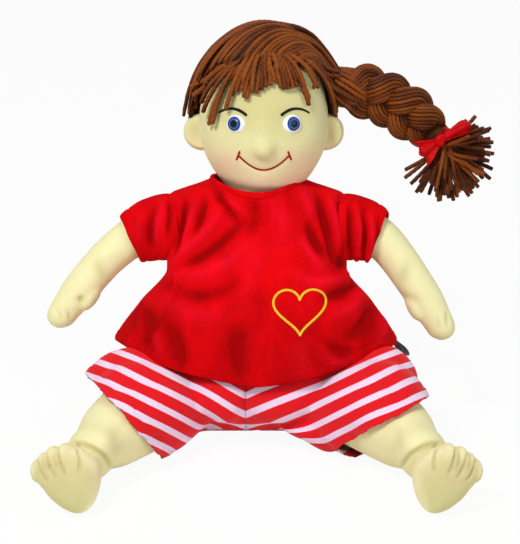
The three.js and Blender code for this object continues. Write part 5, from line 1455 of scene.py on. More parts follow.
def make_torso():
    """The stuffed trunk under the clothes, a soft box of knit with a shallow seam down its front."""
    grid = tucked(torso_grid(-0.4, 4.5), BODY_TUCK)
    seam = bump(grid[..., 0], 0, 1.5)
    grid[..., 1] += 0.8 * seam * smooth(0, -20, grid[..., 1])
    # Painted shade in the seam down the front.
    torso = surface("torso_stuffed", grid, "skin_knit", marks={"press": 0.3 * seam, "blush": 0 * seam})
    placed(torso, ["torso"], "trunk")


def shirt_point(angle, share, lift=0.0):
    """The shirt's outside: a ring by height, from the neck's curve down to the hem, which hangs lower
    at the middle than at the side seams. Waves run down from the chest and grow with the drop."""
    cosine, sine = np.cos(angle), np.sin(angle)
    top = COLLAR_HEIGHT - NECK_DIP * np.maximum(0, cosine) ** 2
    hem = 57 + 29 * np.abs(sine) ** 1.33
    height = COLLAR_HEIGHT + (hem - COLLAR_HEIGHT) * share
    dip = (top - COLLAR_HEIGHT) * (1 - share) ** 2
    hang = np.clip((150 - height) / 93, 0, 1)
    wave = 4 * hang ** 1.5 * (0.5 - 0.5 * np.cos(7 * (angle - 0.3)))
    wave = wave + 1.6 * hang * np.cos(11 * angle + 1.1) * smooth(0.2, 1.4, np.abs(sine))
    cloth = sizes().cloth * 1000
    x, y = ring(angle, along(SHIRT_WIDTHS, height) + cloth, along(SHIRT_DEPTHS, height) + cloth,
                along(SHIRT_POWERS, height))
    out = unit(np.stack([x, 1.6 * y], -1))
    push = lift - wave
    return leaned(np.stack([x + out[..., 0] * push, y + out[..., 1] * push, height + dip], -1))


def panel(name, low, high, columns, lap=0.0):
    """One panel of the shirt between two angles: folds pressed in, a turned and stitched hem, and
    seams that dip at its edges. Lap lifts the panel's far edge over its neighbour."""
    rows = 210
    share = np.concatenate([np.linspace(0, 0.06, 14)[:-1], np.linspace(0.06, 1, rows - 13)])[:, None]
    angle = np.linspace(low, high, columns)[None, :]
    over = smooth(np.pi - 1.7 * LAP, np.pi - 0.6 * LAP, np.abs(angle)) * lap
    grid = shirt_point(angle + 0 * share, share + 0 * angle, over)
    points = grid.reshape(-1, 3)
    quads = net(rows, columns, False)
    out = normals(points, quads)
    out *= np.sign((out * (points - np.array([0, 30, 0])) * [1, 1, 0]).sum(-1).sum())
    points, folds = pressed(points, out, SHIRT_FOLDS)
    behind = smooth(1.7, 2.3, np.abs(angle)) + 0 * share
    sweep = np.cos(5 * angle + 3.2 * share) * smooth(0.1, 0.5, share) * behind
    seam = sum(bump(angle, s * np.pi / 2, 0.02) for s in (-1, 1)) + 0 * share
    armhole = leaned(np.array([0, 0, SHOULDER_HEIGHT]))
    flat = np.hypot(grid[..., 1] - armhole[1], grid[..., 2] - armhole[2])
    seam = seam * smooth(26, 34, flat)
    whole = travelled(grid.swapaxes(0, 1)).swapaxes(0, 1)
    left = whole[-1:] - whole
    turned = 0.4 * smooth(9.5, 7.5, left) - 0.45 * bump(left, 9, 1.0) - 0.8 * bump(left, 0, 1.6)
    rise = (1.8 * sweep - 0.9 * seam + turned * (share > 0.3)) * sizes().fold
    points = points + out * rise.reshape(-1, 1)
    u = whole * 0 + travelled(grid[120]) / 10
    # Painted shade in the fold valleys, darker towards the hem, and a painted highlight on the fold ridges.
    lower = 0.3 * smooth(0.5, 0.9, share + 0 * angle).ravel()
    marks = {"press": np.clip(-folds / 4.2, 0, 0.85) + lower * (folds < 3),
             "bloom": np.clip(folds / 11, 0, 0.35)}
    made = build(name, points, [quads], "velour", net_uv(u, whole / 10), marks)
    if (face_normals(points, quads) * out[quads[:, 0]]).sum() < 0:
        made.data.flip_normals()
    return made


def thicken(thing, thickness, levels=0):
    """Solidify inwards by that many millimetres, then Subdivision Surface if asked."""
    wall = thing.modifiers.new("Cloth", "SOLIDIFY")
    wall.thickness = thickness / 1000
    wall.offset = -1
    wall.use_even_offset = False
    if levels:
        fine = thing.modifiers.new("Subdivision", "SUBSURF")
        fine.levels = fine.render_levels = levels


def make_shirt():
    """Velour shirt body: a front panel and two back halves that lap at the middle of the back."""
    cloth = sizes().cloth * 1000
    front = panel("shirt_front_panel", -np.pi / 2, np.pi / 2, 260)
    right = panel("shirt_back_right_panel", -np.pi - LAP, -np.pi / 2, 150)
    left = panel("shirt_back_left_panel", np.pi / 2, np.pi + LAP, 150, lap=4.4)
    for made, node, flat, area in (
            (front, "shirt_front", (0.32, 0.17), 0.042), (right, "shirt_back_right", (0.18, 0.17), 0.024),
            (left, "shirt_back_left", (0.18, 0.17), 0.024)):
        thicken(made, cloth)
        placed(made, [node], "trunk")


def make_collar():
    """The neck edge: a narrow folded band that stands a little off the neck, with a stitched line
    under its roll."""
    angle = circle(200, -np.pi)
    turn = circle(22)
    height = COLLAR_HEIGHT - NECK_DIP * np.maximum(0, np.cos(angle)) ** 2
    reach = 39.8 + 0.35 * np.sin(9 * angle) + 0.25 * np.sin(23 * angle)
    x, y = reach * np.sin(angle), -reach * np.cos(angle)
    out = np.stack([np.sin(angle), -np.cos(angle), 0 * angle], -1)
    middle = np.stack([x, y, height + 0.2], -1)
    grid = (middle[:, None] + (1.7 * np.cos(turn))[None, :, None] * out[:, None]
            + (2.9 * np.sin(turn))[None, :, None] * np.array([0, 0, 1.0])
            + (0.5 * (np.sin(turn) < -0.2))[None, :, None] * out[:, None])
    grid = np.concatenate([grid, grid[:1]])
    band = surface("collar_band", leaned(grid), "velour", caps=(False, False),
                   uv=band_uv(grid[:, 0], 23))
    placed(band, ["collar"], "trunk")


# Arms: a bend as shares of the reach outwards, forwards and down, and radii at shares of the length.

ARM_BEND = [
    [-0.06, 0, -0.006], [0.06, 0.01, 0.01], [0.165, 0.04, 0.04], [0.335, 0.13, 0.13], [0.51, 0.27, 0.29],
    [0.62, 0.4, 0.42], [0.745, 0.6, 0.585], [0.865, 0.8, 0.76], [0.96, 0.93, 0.91], [1, 1, 1]]
ARM_REACH = (98, -15, -87)
ARM_RADII = [
    [0, 25], [0.04, 25], [0.19, 19.5], [0.35, 17], [0.55, 16.2], [0.72, 15.6], [0.86, 13.4], [1, 11.5]]
SLEEVE_ENDS = (-12, 40)
SLEEVE_RADII = [[-12, 28], [0, 29.6], [12, 28.4], [22, 26.2], [31, 23.4], [41.5, 20.9]]
ARM_DROOP = math.radians(7)


def arm_line(side, count):
    """An arm's middle line in trunk places. The left arm is let down by a few degrees past the
    shoulder, about the shoulder's own place."""
    line = curve(np.array(ARM_BEND) * ARM_REACH, count)
    if side > 0:
        line = spun(line, -ARM_DROOP * smooth(0.08, 0.6, line[:, 0] / ARM_REACH[0]), 0, 2)
    line = line + np.array([ARM_PLANE, 0, SHOULDER_HEIGHT])
    line[:, 0] *= side
    return line


def make_sleeves():
    """Short velour sleeves: loose tubes along the arm, wide at the armhole and narrow at the turned
    hem, which slants so that it is longer under the arm."""
    for side, name, top, under in ((-1, "right", 31.0, 38.0), (1, "left", 22.0, 40.0)):
        whole = arm_line(side, 400)
        place = travelled(whole)
        zero = np.interp(0, whole[:, 0] * side - ARM_PLANE, place)
        rows, columns = 96, 200
        low_end, span = SLEEVE_ENDS[0], SLEEVE_ENDS[1] - SLEEVE_ENDS[0]
        at = np.linspace(*SLEEVE_ENDS, rows)
        line = sampled(whole, place, zero + at)
        line += np.minimum(zero + at, 0)[:, None] * unit(whole[1] - whole[0])
        deep = 1 + 0.22 * smooth(16, -6, at)
        straight = leaned(tube(line, along(SLEEVE_RADII, at), columns, across=(0, 1, 0), flat=deep,
                               round_ends=(False, False)))
        lifted = unit(straight - straight.mean(1, keepdims=True))[..., 2]
        ends = (top + under) / 2 + (top - under) / 2 * lifted[-1]
        reach = np.linspace(0, 1, rows)[:, None] * (ends[None] - low_end) / span * (rows - 1)
        low = np.clip(np.floor(reach).astype(int), 0, rows - 2)
        part = (reach - low)[..., None]
        pick = np.arange(columns)[None, :]
        grid = straight[low, pick] * (1 - part) + straight[low + 1, pick] * part
        drop = reach / (rows - 1) * span + low_end
        sag = smooth(0, 30, drop) * smooth(0.3, -1, lifted[-1])[None]
        grid[..., 2] -= 1.5 * sag
        points, faces, loops = grid_data(grid, (False, False), uv=(
            np.broadcast_to(np.linspace(0, 15, columns + 1), (rows, columns + 1)),
            np.concatenate([drop, drop[:, :1]], 1) / 10))
        out = normals(points, faces[0])
        points, folds = pressed(points, out, SLEEVE_FOLDS)
        # Painted shade in the fold valleys and a painted highlight on the ridges.
        marks = {"press": np.clip(-folds / 5, 0, 0.7), "bloom": np.clip(folds / 12, 0, 0.3)}
        left = (ends[None] - drop).ravel()
        sway = 0.66 * np.cos(6 * np.tile(circle(columns), rows) + 0.6 * side) * smooth(-6, 20, drop.ravel())
        hem = 0.4 * smooth(7.5, 6, left) - 0.5 * bump(left, 7, 0.9) - 0.7 * bump(left, 0, 1.4)
        points = points + out * ((hem + sway) * sizes().fold)[:, None]
        sleeve = build(f"sleeve_{name}_velour", points, faces, "velour", loops, marks)
        thicken(sleeve, sizes().cloth * 1000)
        ends = [leaned(np.array([side * x, 0, SHOULDER_HEIGHT])) for x in (70, 96)]
        placed(sleeve, [f"sleeve_{name}"], between=("trunk", f"{name}_arm", *ends))


def make_arms():
    """Stuffed arms: a tube of knit that narrows to the wrist, fused with a round hand and a thumb,
    then pressed in at the elbow, the wrist and the stitched fingers."""
    for side, name in SIDES:
        line = arm_line(side, 130)
        share = np.linspace(0, 1, 130)
        arm = grid_data(leaned(tube(line, along(ARM_RADII, share), 48, round_ends=(True, True))))[:2]
        palm = line[91]
        along_arm = unit(line[110] - line[78])
        inwards = unit(np.array([-side * 0.75, -0.35, -0.3]))
        thumb_way = unit(along_arm + inwards * 0.12)
        square = unit(np.cross(thumb_way, along_arm))
        axes = (unit(np.cross(square, thumb_way)), square, thumb_way)
        thumb = ball(palm + inwards * 10.5 + thumb_way * 3, axes, (8.2, 8.6, 14.5), 30, 36, 2.3)
        points, quads = fused([arm, grid_data(leaned(thumb))[:2]], 1.9, 5)
        out = normals(points, quads)
        points, rise = pressed(points, out, ARM_PRESSES)
        # Painted shade in the pressed dimples and creases.
        marks = {"press": np.clip(-rise / 2.2, 0, 0.8), "blush": 0 * rise}
        made = build(f"arm_{name}_stuffed", points, [quads], "skin_knit", marks=marks)
        placed(made, [f"arm_{name}"], f"{name}_arm")


ARM_PRESSES = [
    (3.2, -2.2, 78, 298, 80.6, 299, 84, 301),
    (1.6, -1.3, 66, 309, 69, 314, 70, 320),
    (1.5, -1.0, 57, 310, 60, 315, 61, 320),
    (6, -1.0, 92, 262, 99, 268, 106, 280),
    (1.6, -1.5, 446, 311, 447, 318, 447, 327),
    (1.5, -1.0, 437, 316, 438, 322, 439, 328),
    (6, -1.0, 409, 262, 404, 272, 399, 284),
    (4, -0.9, 400, 294, 408, 298, 418, 300),
]


# Legs and shorts. The leg's bend holds shares of the way from the hip to the foot.

LEG_BEND = [
    [-0.07, -0.006, 0], [0.055, 0.006, 0], [0.18, 0.075, 0.11], [0.36, 0.207, 0.23], [0.515, 0.37, 0.31],
    [0.645, 0.52, 0.39], [0.765, 0.675, 0.46], [0.87, 0.85, 0.54], [0.925, 0.935, 0.58]]
FOOT = np.array([150.0, -150.0, 30.0])
LEG_RADII = [[0.04, 40], [0.31, 39], [0.52, 38], [0.7, 33], [0.85, 24.5], [1, 24]]
LEG_FLATNESS = [[0.05, 1], [0.26, 0.93], [0.57, 0.93], [0.85, 1]]
# Turn clockwise from straight up, seen from the sole, and the foot's half size that way.
FOOT_OUTLINE = [
    [-60, 30], [-30, 28], [-7, 28], [12, 27.5], [32, 27], [52, 29], [67, 31], [78, 31], [96, 26.5],
    [113, 22.5], [130, 21.5], [148, 21.5], [164, 22.5], [188, 26.2], [199, 28.8], [211, 30.8],
    [228, 31.8], [247, 31.5], [268, 31.5], [300, 30]]
# Toes: place across and up from the foot's middle, half width, half length, depth.
TOES = [[2.5, 18.5, 7.6, 12.5, 13.5], [13.2, 15.6, 5.4, 11.5, 12.5], [20.6, 10.4, 5.0, 10.5, 11.5],
        [26.4, 5.4, 4.4, 9.5, 10.5]]
TOE_LINES = [
    (1.35, -2.8, 438.6, 442, 434.8, 451, 432.9, 461, 433.6, 469),
    (1.25, -2.8, 456.0, 447, 455.0, 457, 452.6, 465, 449.1, 472.6),
    (1.2, -2.6, 467.5, 452, 465.4, 462, 462.2, 470, 458, 477.1),
    (1.2, -2.4, 476.5, 458, 474.6, 467, 471.2, 475, 466.1, 480.7),
]
ANKLE_LINES = [
    (1.5, -1.6, 433, 466, 433.6, 469, 434.4, 471),
    (1.3, -1.0, 449.8, 471, 449.1, 473, 448.6, 475),
    (2.4, -3.0, 441, 443, 427, 445, 412, 453, 403, 464, 398, 477),
    (6, -1.0, 392, 425, 398, 436, 398, 452),
]
# The way that the sole faces, the way across it and the way to its toes
SOLE = unit(np.array([0.27, -0.95, 0.12]))
ASIDE = unit(np.cross(SOLE, np.array([0, 0, -1.0])))
TOEWARD = np.cross(SOLE, ASIDE)


def leg_line(count):
    """The left leg's middle line, from inside the hip to inside the foot."""
    return curve(HIP + np.array(LEG_BEND) * (FOOT - HIP), count)


def swung(points, side=1):
    """Points of a thigh with its lower part set outwards and back, most half way to the foot."""
    out = points[..., 0] * side
    amount = smooth(45, 85, out) * smooth(150, 112, out) * smooth(70, 22, points[..., 2])
    return points + amount[..., None] * np.array([6.5 * side, 8.5, 0])


def settled(points, floor):
    """Points flattened on a floor: z becomes floor plus reach times the soft positive part of
    (z - floor) / reach."""
    reach = 5.0
    lifted = points.copy()
    t = (points[..., 2] - floor) / reach
    lifted[..., 2] = floor + reach * np.where(t > 3, t, np.log1p(np.exp(np.clip(2 * t, -30, 30))) / 2)
    return lifted


def foot_pad():
    """The foot's pad: the outline's half size in each direction times a rounded profile, (cos a)^0.75
    outwards and sin a in depth, so that the sole is a soft dome."""
    rows, columns = 50, 96
    tilt = np.linspace(-np.pi / 2 + 0.02, np.pi / 2 - 0.02, rows)[:, None]
    turn = np.linspace(-60, 300, columns, endpoint=False)
    reach = along(FOOT_OUTLINE, turn)[None, :]
    out = reach * np.cos(tilt) ** 0.75
    deep = 16.0 * np.sign(np.sin(tilt)) * np.abs(np.sin(tilt)) ** 0.9 + 0 * out
    across, up = out * np.sin(np.radians(turn)), out * np.cos(np.radians(turn))
    return FOOT + across[..., None] * ASIDE + up[..., None] * TOEWARD + deep[..., None] * SOLE


def make_legs():
    """Stuffed legs and feet: a thick tube that narrows to the ankle, fused with the pad of the foot
    and four plump toes, then pressed in along the stitched toe lines and the ankle."""
    line = leg_line(150)
    share = np.linspace(0, 1, 150)
    leg = tube(line, along(LEG_RADII, share), 64, flat=along(LEG_FLATNESS, share), across=(0, 0, 1))
    parts = [grid_data(leg)[:2], grid_data(foot_pad())[:2]]
    upper = unit(0.16 * ASIDE + TOEWARD)
    for across, up, wide, tall, deep in TOES:
        place = FOOT + across * ASIDE + up * TOEWARD + 2.0 * SOLE
        toe = ball(place, (np.cross(SOLE, upper), upper, SOLE), (wide, tall, deep), power=2.2)
        parts.append(grid_data(toe)[:2])
    points, quads = fused(parts, 1.6, 5)
    points = tucked(swung(settled(points, 1.2)), BODY_TUCK)
    out = normals(points, quads)
    points, rise = pressed(points, out, TOE_LINES + ANKLE_LINES)
    # Painted shade in the toe and ankle creases, and on the soles, which face away from the light.
    crease_shade = np.clip(-rise / 2.6, 0, 1)
    foot = smooth(36, 24, np.linalg.norm(points - FOOT, axis=1))
    facing = smooth(0.2, 0.9, out @ SOLE)
    blush = 0.14 * foot * smooth(-14, 12, (points - FOOT) @ TOEWARD)
    for side, name in SIDES:
        faces = quads if side > 0 else quads[:, ::-1]
        made = build(f"leg_{name}_stuffed", points * np.array([side, 1, 1]), [faces], "skin_knit",
                     marks={"press": np.clip(crease_shade * 0.8 + 0.66 * foot * facing, 0, 1), "blush": blush})
        placed(made, [f"leg_{name}", f"foot_{name}"], f"{name}_leg")


SHORTS_RADII = [
    [-16, 40.9], [8, 40.9], [50, 41.6], [84, 43.2], [104, 40.4], [120, 37.2], [135, 34], [150, 30],
    [160, 28]]
WAIST_HEIGHT = 118.0
STRIPE_WAY = unit(np.array([0.42, -0.45, -0.80]))
STRIPE_START = np.array([1.2, -46.3, 47.0])
HEMS = {
    "left": [(np.array([101.5, -90.2, 50.1]), unit(np.array([0.49, -0.407, -0.771]))),
             (np.array([91.6, -49.0, 0.0]), unit(np.array([0.70, -0.71, -0.05])))],
    "right": [(np.array([103.3, -92.7, 52.1]), unit(np.array([0.726, -0.348, -0.593]))),
              (np.array([84.0, -42.0, 0.0]), unit(np.array([0.70, -0.71, -0.05])))],
}
MIDDLE_PIXEL = 257
SHORTS_FOLDS = [
    (6, -1.8, 273, 434, 300, 425, 330, 416, 352, 402),
    (7, 1.6, 262, 430, 290, 412, 320, 398),
    (6, -1.0, 300, 392, 330, 386, 360, 372),
    (5, 1.3, 352, 432, 372, 414, 398, 398),
    (4, -1.6, 330, 446, 350, 440, 368, 450),
    (5, -1.2, 250, 396, 262, 412, 258, 430),
    (6, 1.5, 372, 366, 392, 368, 410, 380),
    (5, -1.2, 356, 384, 380, 384, 402, 392),
]


def cut_open(points, quads, fields):
    """A closed mesh opened where any field is over 0. Each field in turn stands in for x while
    Blender's bisect cuts at 0, and the true places ride along as an attribute."""
    mesh = bpy.data.meshes.new("cut")
    mesh.from_pydata(points.tolist(), [], quads.tolist())
    home = mesh.attributes.new("home", "FLOAT_VECTOR", "POINT")
    home.data.foreach_set("vector", points.astype(np.float32).ravel())
    for field in fields:
        places = read_rows(mesh.attributes["home"].data, "vector")
        move_points(mesh, np.column_stack([field(places), places[:, 1:]]))
        work = bmesh.new()
        work.from_mesh(mesh)
        every = work.verts[:] + work.edges[:] + work.faces[:]
        bmesh.ops.bisect_plane(
            work, geom=every, plane_co=(0, 0, 0), plane_no=(1, 0, 0), clear_outer=True, dist=1e-5)
        work.to_mesh(mesh)
        work.free()
    move_points(mesh, read_rows(mesh.attributes["home"].data, "vector"))
    mesh.attributes.remove(mesh.attributes["home"])
    return mesh


def past_hem(points, name):
    """Millimetres past the hem: the lesser of the distances past its upper and its lower plane."""
    return np.min([(points - place) @ way for place, way in HEMS[name]], axis=0)


def make_shorts():
    """Striped shorts in two halves sewn at the middle: each is the seat and the leg, swollen together
    by a voxel remesh, cut open at the waist, the hem and the middle seam, and pressed into folds."""
    seat = grid_data(torso_grid(2.2))[:2]
    whole = leg_line(400)
    place = travelled(whole)
    zero = place[np.argmin(np.linalg.norm(whole - HIP, axis=1))]
    at = np.linspace(-16, 160, 120)
    line = sampled(whole, place, zero + at)
    radii = along(SHORTS_RADII, at) + sizes().jersey * 1000
    leg = tube(line, radii, 72, across=(0, 0, 1), flat=np.full(120, 0.97), round_ends=(False, False))
    puff = unit(np.array([0.75, 0.43, 0.5]))
    out = unit(leg - leg.mean(1, keepdims=True))
    reach = smooth(40, 92, at) * (1 - 0.75 * smooth(100, 140, at))
    leg = leg + out * (reach[:, None] * np.clip(out @ puff, 0, 1) * 8.5)[..., None]
    lap = ball((26, -22, 54), np.eye(3), (40, 36, 30), 40, 56, 2.2)
    slack = ball((60, -30, 20), np.eye(3), (36, 30, 23), 40, 56)
    hip = ball((98, -16, 54), np.eye(3), (44, 36, 38), 40, 56)
    wide_hip = ball((106, -26, 54), np.eye(3), (46, 38, 36), 40, 56)
    for side, name in SIDES:
        shells = [leg, lap, hip, slack] if side > 0 else [leg, lap, wide_hip]
        points, quads = fused([seat] + [grid_data(shell)[:2] for shell in shells], 2.4, 8)
        kept = cut_open(points, quads, [
            lambda p: -p[:, 0], lambda p: p @ UPWARD - WAIST_HEIGHT,
            lambda p, name=name: past_hem(p, name)])
        finish_half(kept, side, name)


def finish_half(mesh, side, name):
    """One half of the shorts from its cut mesh: mirrored if it is the right one, with stripes in its
    UV, folds, a turned hem and a stitched middle seam that leans a little to the right."""
    mesh.name = f"shorts_half_{name}"
    if side < 0:
        mesh.flip_normals()
    points = read_rows(mesh.vertices, "co")
    corners = read_corners(mesh)
    field = (points - STRIPE_START) @ STRIPE_WAY
    own = points * np.array([side, 1, 1])
    move_points(mesh, own / 1000)
    out = read_rows(mesh.vertices, "normal")
    folds = SHORTS_FOLDS
    if side < 0:
        folds = [(wide, high, *(v if k % 2 else 2 * MIDDLE_PIXEL - v for k, v in enumerate(line)))
                 for wide, high, *line in folds]
    moved = pressed(own, out, folds)[0]
    left = -past_hem(points, name)
    ragged = 0.5 * np.sin(points[:, 2] * 0.31 + points[:, 0] * 0.2 + side)
    ragged += 0.35 * np.sin(points[:, 2] * 1.7)
    hem = 0.8 * smooth(8.5, 7.2, left) - 0.9 * bump(left, 8.4, 0.8)
    ripple = 1.3 * np.sin(points[:, 2] * 0.14 + points[:, 0] * 0.05 + 1.5 * side) * smooth(30, 0, left)
    seam = -1.2 * bump(points[:, 0], 0, 2.2)
    moved = moved + out * ((hem + ripple + seam) * sizes().fold)[:, None]
    moved += np.array([side, 1, 1]) * HEMS[name][0][1] * (ragged * smooth(2.5, 0, left))[:, None]
    moved[:, 0] = np.where(points[:, 0] < 0.6, side * np.maximum(points[:, 0], 0.12), moved[:, 0])
    moved[:, 0] -= 9.6 * bump(points[:, 0], 0, 34) * smooth(0, -22, points[:, 1])
    moved[:, 2] = np.maximum(moved[:, 2], 0.5)
    moved = tucked(swung(moved, side), 10)
    move_points(mesh, moved / 1000)
    mesh.shade_smooth()
    around = np.arctan2(points[:, 2] - 42, points[:, 0] - 60) * 4.5
    uv = np.stack([around[corners], field[corners] / (2000 * sizes().stripe) + 0.5], -1)
    layer = mesh.uv_layers.new(name="UVMap")
    layer.data.foreach_set("uv", uv.astype(np.float32).ravel())
    mesh.materials.append(material("striped_jersey"))
    made = bpy.data.objects.new(f"shorts_half_{name}", mesh)
    bpy.context.scene.collection.objects.link(made)
    thicken(made, sizes().jersey * 1000)
    nodes = [f"shorts_leg_{name}"] + (["shorts_seat"] if side > 0 else [])
    ends = [np.array([side * 0.7, -0.45, -0.55]) * reach for reach in (20, 76)]
    placed(made, nodes, between=("trunk", f"{name}_leg", *ends))


def make_elastic():
    """Knitted elastic in the waist of the shorts: a flat band round the trunk, gently puckered."""
    angle = circle(180, -np.pi)[:, None]
    height = WAIST_HEIGHT - 6 + np.array([-4, 4, 4, -4])
    reach = np.array([0.6, 0.6, 1.4, 1.4])
    pucker = 0.2 * np.cos(30 * angle)
    x, y = ring(angle, along(TRUNK_WIDTHS, height) + reach + pucker,
                along(TRUNK_DEPTHS, height) + reach + pucker, along(TRUNK_POWERS, height))
    grid = leaned(np.stack([x, y, np.broadcast_to(height, x.shape)], -1))
    grid = np.concatenate([grid, grid[:1]])
    band = surface("waist_elastic_band", grid, "elastic", caps=(False, False),
                   uv=band_uv(grid[:, 0], 5)[::-1])
    placed(band, ["waist_elastic"], "trunk")


# Trimmings of the shirt

HEART_X, HEART_HEIGHT, HEART_WIDE, HEART_TALL = 36.5, 122.0, 22.5, 38.0


def make_heart():
    """The heart's outline in satin stitch on the shirt: its half width times sin^3 t, and a height
    by the sum of cosines of t to 4t, laid on the front panel along the trunk's forward direction."""
    t = np.linspace(0, 2 * np.pi, 150)
    x = HEART_X + HEART_WIDE * np.sin(t) ** 3
    z = 13 * np.cos(t) - 5 * np.cos(2 * t) - 2 * np.cos(3 * t) - np.cos(4 * t)
    z = HEART_HEIGHT + HEART_TALL * z / 29
    cloth = bpy.data.objects["shirt_front_panel"].data
    ground = BVHTree.FromPolygons(
        read_rows(cloth.vertices, "co").tolist(), read_corners(cloth).reshape(-1, 4).tolist())
    start = leaned(np.stack([x, 0 * x - 120, z], -1)) / 1000
    found = [ground.ray_cast(Vector(p), Vector(-FORWARD)) for p in start]
    line = np.array([f[0] for f in found]) * 1000
    out = unit(np.array([f[1] for f in found]))
    out = unit(out + np.roll(out, 1, 0) + np.roll(out, -1, 0) + FORWARD)
    line = line + out * THREAD_LIFT
    wide = np.full(len(t), sizes().heart_stitch * 1000)
    heart = stitched("heart_outline_stitched", line, wide, "yellow_thread", out, height=0.75)
    placed(heart, ["heart_stitching"], "trunk")


def make_closure():
    """Hook and loop tapes between the lapped halves of the back: two thin rounded strips."""
    for name, place in (("hook_tape", 3.4), ("loop_tape", 2.8)):
        node = f"closure_{name}"
        rows, columns = 60, 40
        height = np.linspace(-35, 35, rows)[:, None]
        turn = circle(columns)[None, :]
        x = 6 * np.sign(np.cos(turn)) * np.abs(np.cos(turn)) ** 0.3 + 0 * height
        thick = 0.5 * np.sign(np.sin(turn)) * np.abs(np.sin(turn)) ** 0.6
        top = np.mean(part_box(node), axis=0) * 1000 @ UPWARD
        y = along(SHIRT_DEPTHS, top + height) + place + thick
        grid = leaned(np.stack([x, y + 0 * x, top + height + 0 * x], -1))
        tape = surface(f"{node}_woven", grid, name)
        placed(tape, [node], "trunk")


def make_label():
    """A blank woven label folded in half, sewn into the left side seam under the hem."""
    low, high = (np.array(v) * 1000 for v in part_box("side_label"))
    t = np.linspace(0, 1, 60)
    across = np.array([0.35, -0.85, 0.38])
    start = np.array([low[0] - 3.5, (low[1] + high[1]) / 2 - 3, high[2] + 0.5])
    way = unit(np.array([0.84, -0.12, -0.54]))
    square = unit(np.cross(across, way))
    reach = 17 * np.sin(np.pi * t)
    apart = 2.2 * np.sin(2 * np.pi * t) * np.sin(np.pi * t) + 0.4
    spine = start + reach[:, None] * way + apart[:, None] * square
    spine[:, 2] -= 0.02 * reach ** 2
    band = ribbon_band("side_label_woven", spine, np.full(60, 12.0), unit(across), 0.5, look="label_weave")
    placed(band, ["side_label"], "trunk")


# Stage


def rays_seen(tree):
    """1 for rays that the camera, a reflection or clear plastic sends straight, by adding their flags."""
    path = put(tree, "LightPath").outputs
    total = put(tree, "Math", [path["Is Camera Ray"], path["Is Glossy Ray"]], operation="ADD")
    return put(tree, "Math", [total, path["Is Transmission Ray"]], operation="ADD", use_clamp=True)


def aimed(name, data, place, way):
    """Puts a lamp or a camera at a place in metres, looking along a way."""
    thing = bpy.data.objects.new(name, data)
    thing.location = Vector(place)
    thing.rotation_mode = "QUATERNION"
    thing.rotation_quaternion = Vector(way).to_track_quat("-Z", "Y")
    bpy.context.scene.collection.objects.link(thing)
    return thing


WORLD_LIGHT = 0.3
FLOOR_SHARE = 0.94
FLOOR_HALF = 9000.0
# Name, place, size across and power of each lamp
LAMPS = [
    ("key_lamp", (-0.6, -1.0, 1.5), 0.5, 20.8),
    ("fill_lamp", (1.25, -1.1, 0.8), 1.1, 6.5),
    ("top_lamp", (0.1, 0.1, 1.7), 0.9, 3.0),
]


def make_stage():
    """A plain pale floor that keeps the doll's shadow, a white surround, three soft lamps and the
    camera at the photograph's angle."""
    made, tree, shader = finish("pale_floor", {"Base Color": paint("F4F3F1"), "Roughness": 0.9})
    glow = put(tree, "Emission", [(1, 1, 1, 1), 1])
    seen = put(tree, "Math", [rays_seen(tree), FLOOR_SHARE], operation="MULTIPLY")
    mixed = put(tree, "MixShader", [seen, shader, glow])
    feed(tree, tree.nodes["Material Output"], {"Surface": mixed})
    corners = np.array([[-1, -1, 0], [1, -1, 0], [1, 1, 0], [-1, 1, 0]]) * FLOOR_HALF
    FINISHES["pale_floor"] = made
    floor = build("floor", corners, [np.array([[0, 1, 2, 3]])], "pale_floor")
    world = bpy.data.worlds.new("studio")
    world.use_nodes = True
    tree = world.node_tree
    strength = put(tree, "MapRange", {"Value": rays_seen(tree), "To Min": WORLD_LIGHT, "To Max": 1})
    feed(tree, tree.nodes["Background"], {"Color": (1, 1, 1, 1), "Strength": strength})
    bpy.context.scene.world = world
    for name, place, size, power in LAMPS:
        lamp = bpy.data.lights.new(name, "AREA")
        lamp.shape = "DISK"
        lamp.size = size
        lamp.energy = power
        aimed(name, lamp, place, LOOK_AT / 1000 - place)
    eye = bpy.data.cameras.new("camera")
    eye.lens = LENS
    eye.sensor_width = SENSOR
    bpy.context.scene.camera = aimed("camera", eye, EYE / 1000, -AWAY)
    bpy.context.scene.view_settings.view_transform = "Standard"


# Operators and panel


class DOLL_OT_stage(bpy.types.Operator):
    """Makes the floor, the lamps, the surround and the camera"""

    bl_idname = "doll.stage"
    bl_label = "Stage"

    def execute(self, context):
        make_stage()
        return {"FINISHED"}


class DOLL_OT_head(bpy.types.Operator):
    """Makes the stuffed head, neck and ears"""

    bl_idname = "doll.head"
    bl_label = "Head, neck and ears"

    def execute(self, context):
        make_head()
        make_neck()
        make_ears()
        return {"FINISHED"}


class DOLL_OT_face(bpy.types.Operator):
    """Makes the eyes with their washers, and the stitched brows and mouth"""

    bl_idname = "doll.face"
    bl_label = "Eyes, brows and mouth"

    def execute(self, context):
        make_eyes()
        make_stitches()
        return {"FINISHED"}


class DOLL_OT_hair(bpy.types.Operator):
    """Lays the hair yarns over the head and hangs the fringe"""

    bl_idname = "doll.hair"
    bl_label = "Hair and fringe"

    def execute(self, context):
        make_cap()
        make_fringe()
        return {"FINISHED"}


class DOLL_OT_braid(bpy.types.Operator):
    """Plaits the side braid and makes its root, tie and tassel"""

    bl_idname = "doll.braid"
    bl_label = "Braid and tassel"

    def execute(self, context):
        make_root()
        make_strands()
        make_tie()
        make_tassel()
        return {"FINISHED"}


class DOLL_OT_bow(bpy.types.Operator):
    """Ties the satin bow round the braid's end"""

    bl_idname = "doll.bow"
    bl_label = "Bow"

    def execute(self, context):
        make_bow()
        return {"FINISHED"}


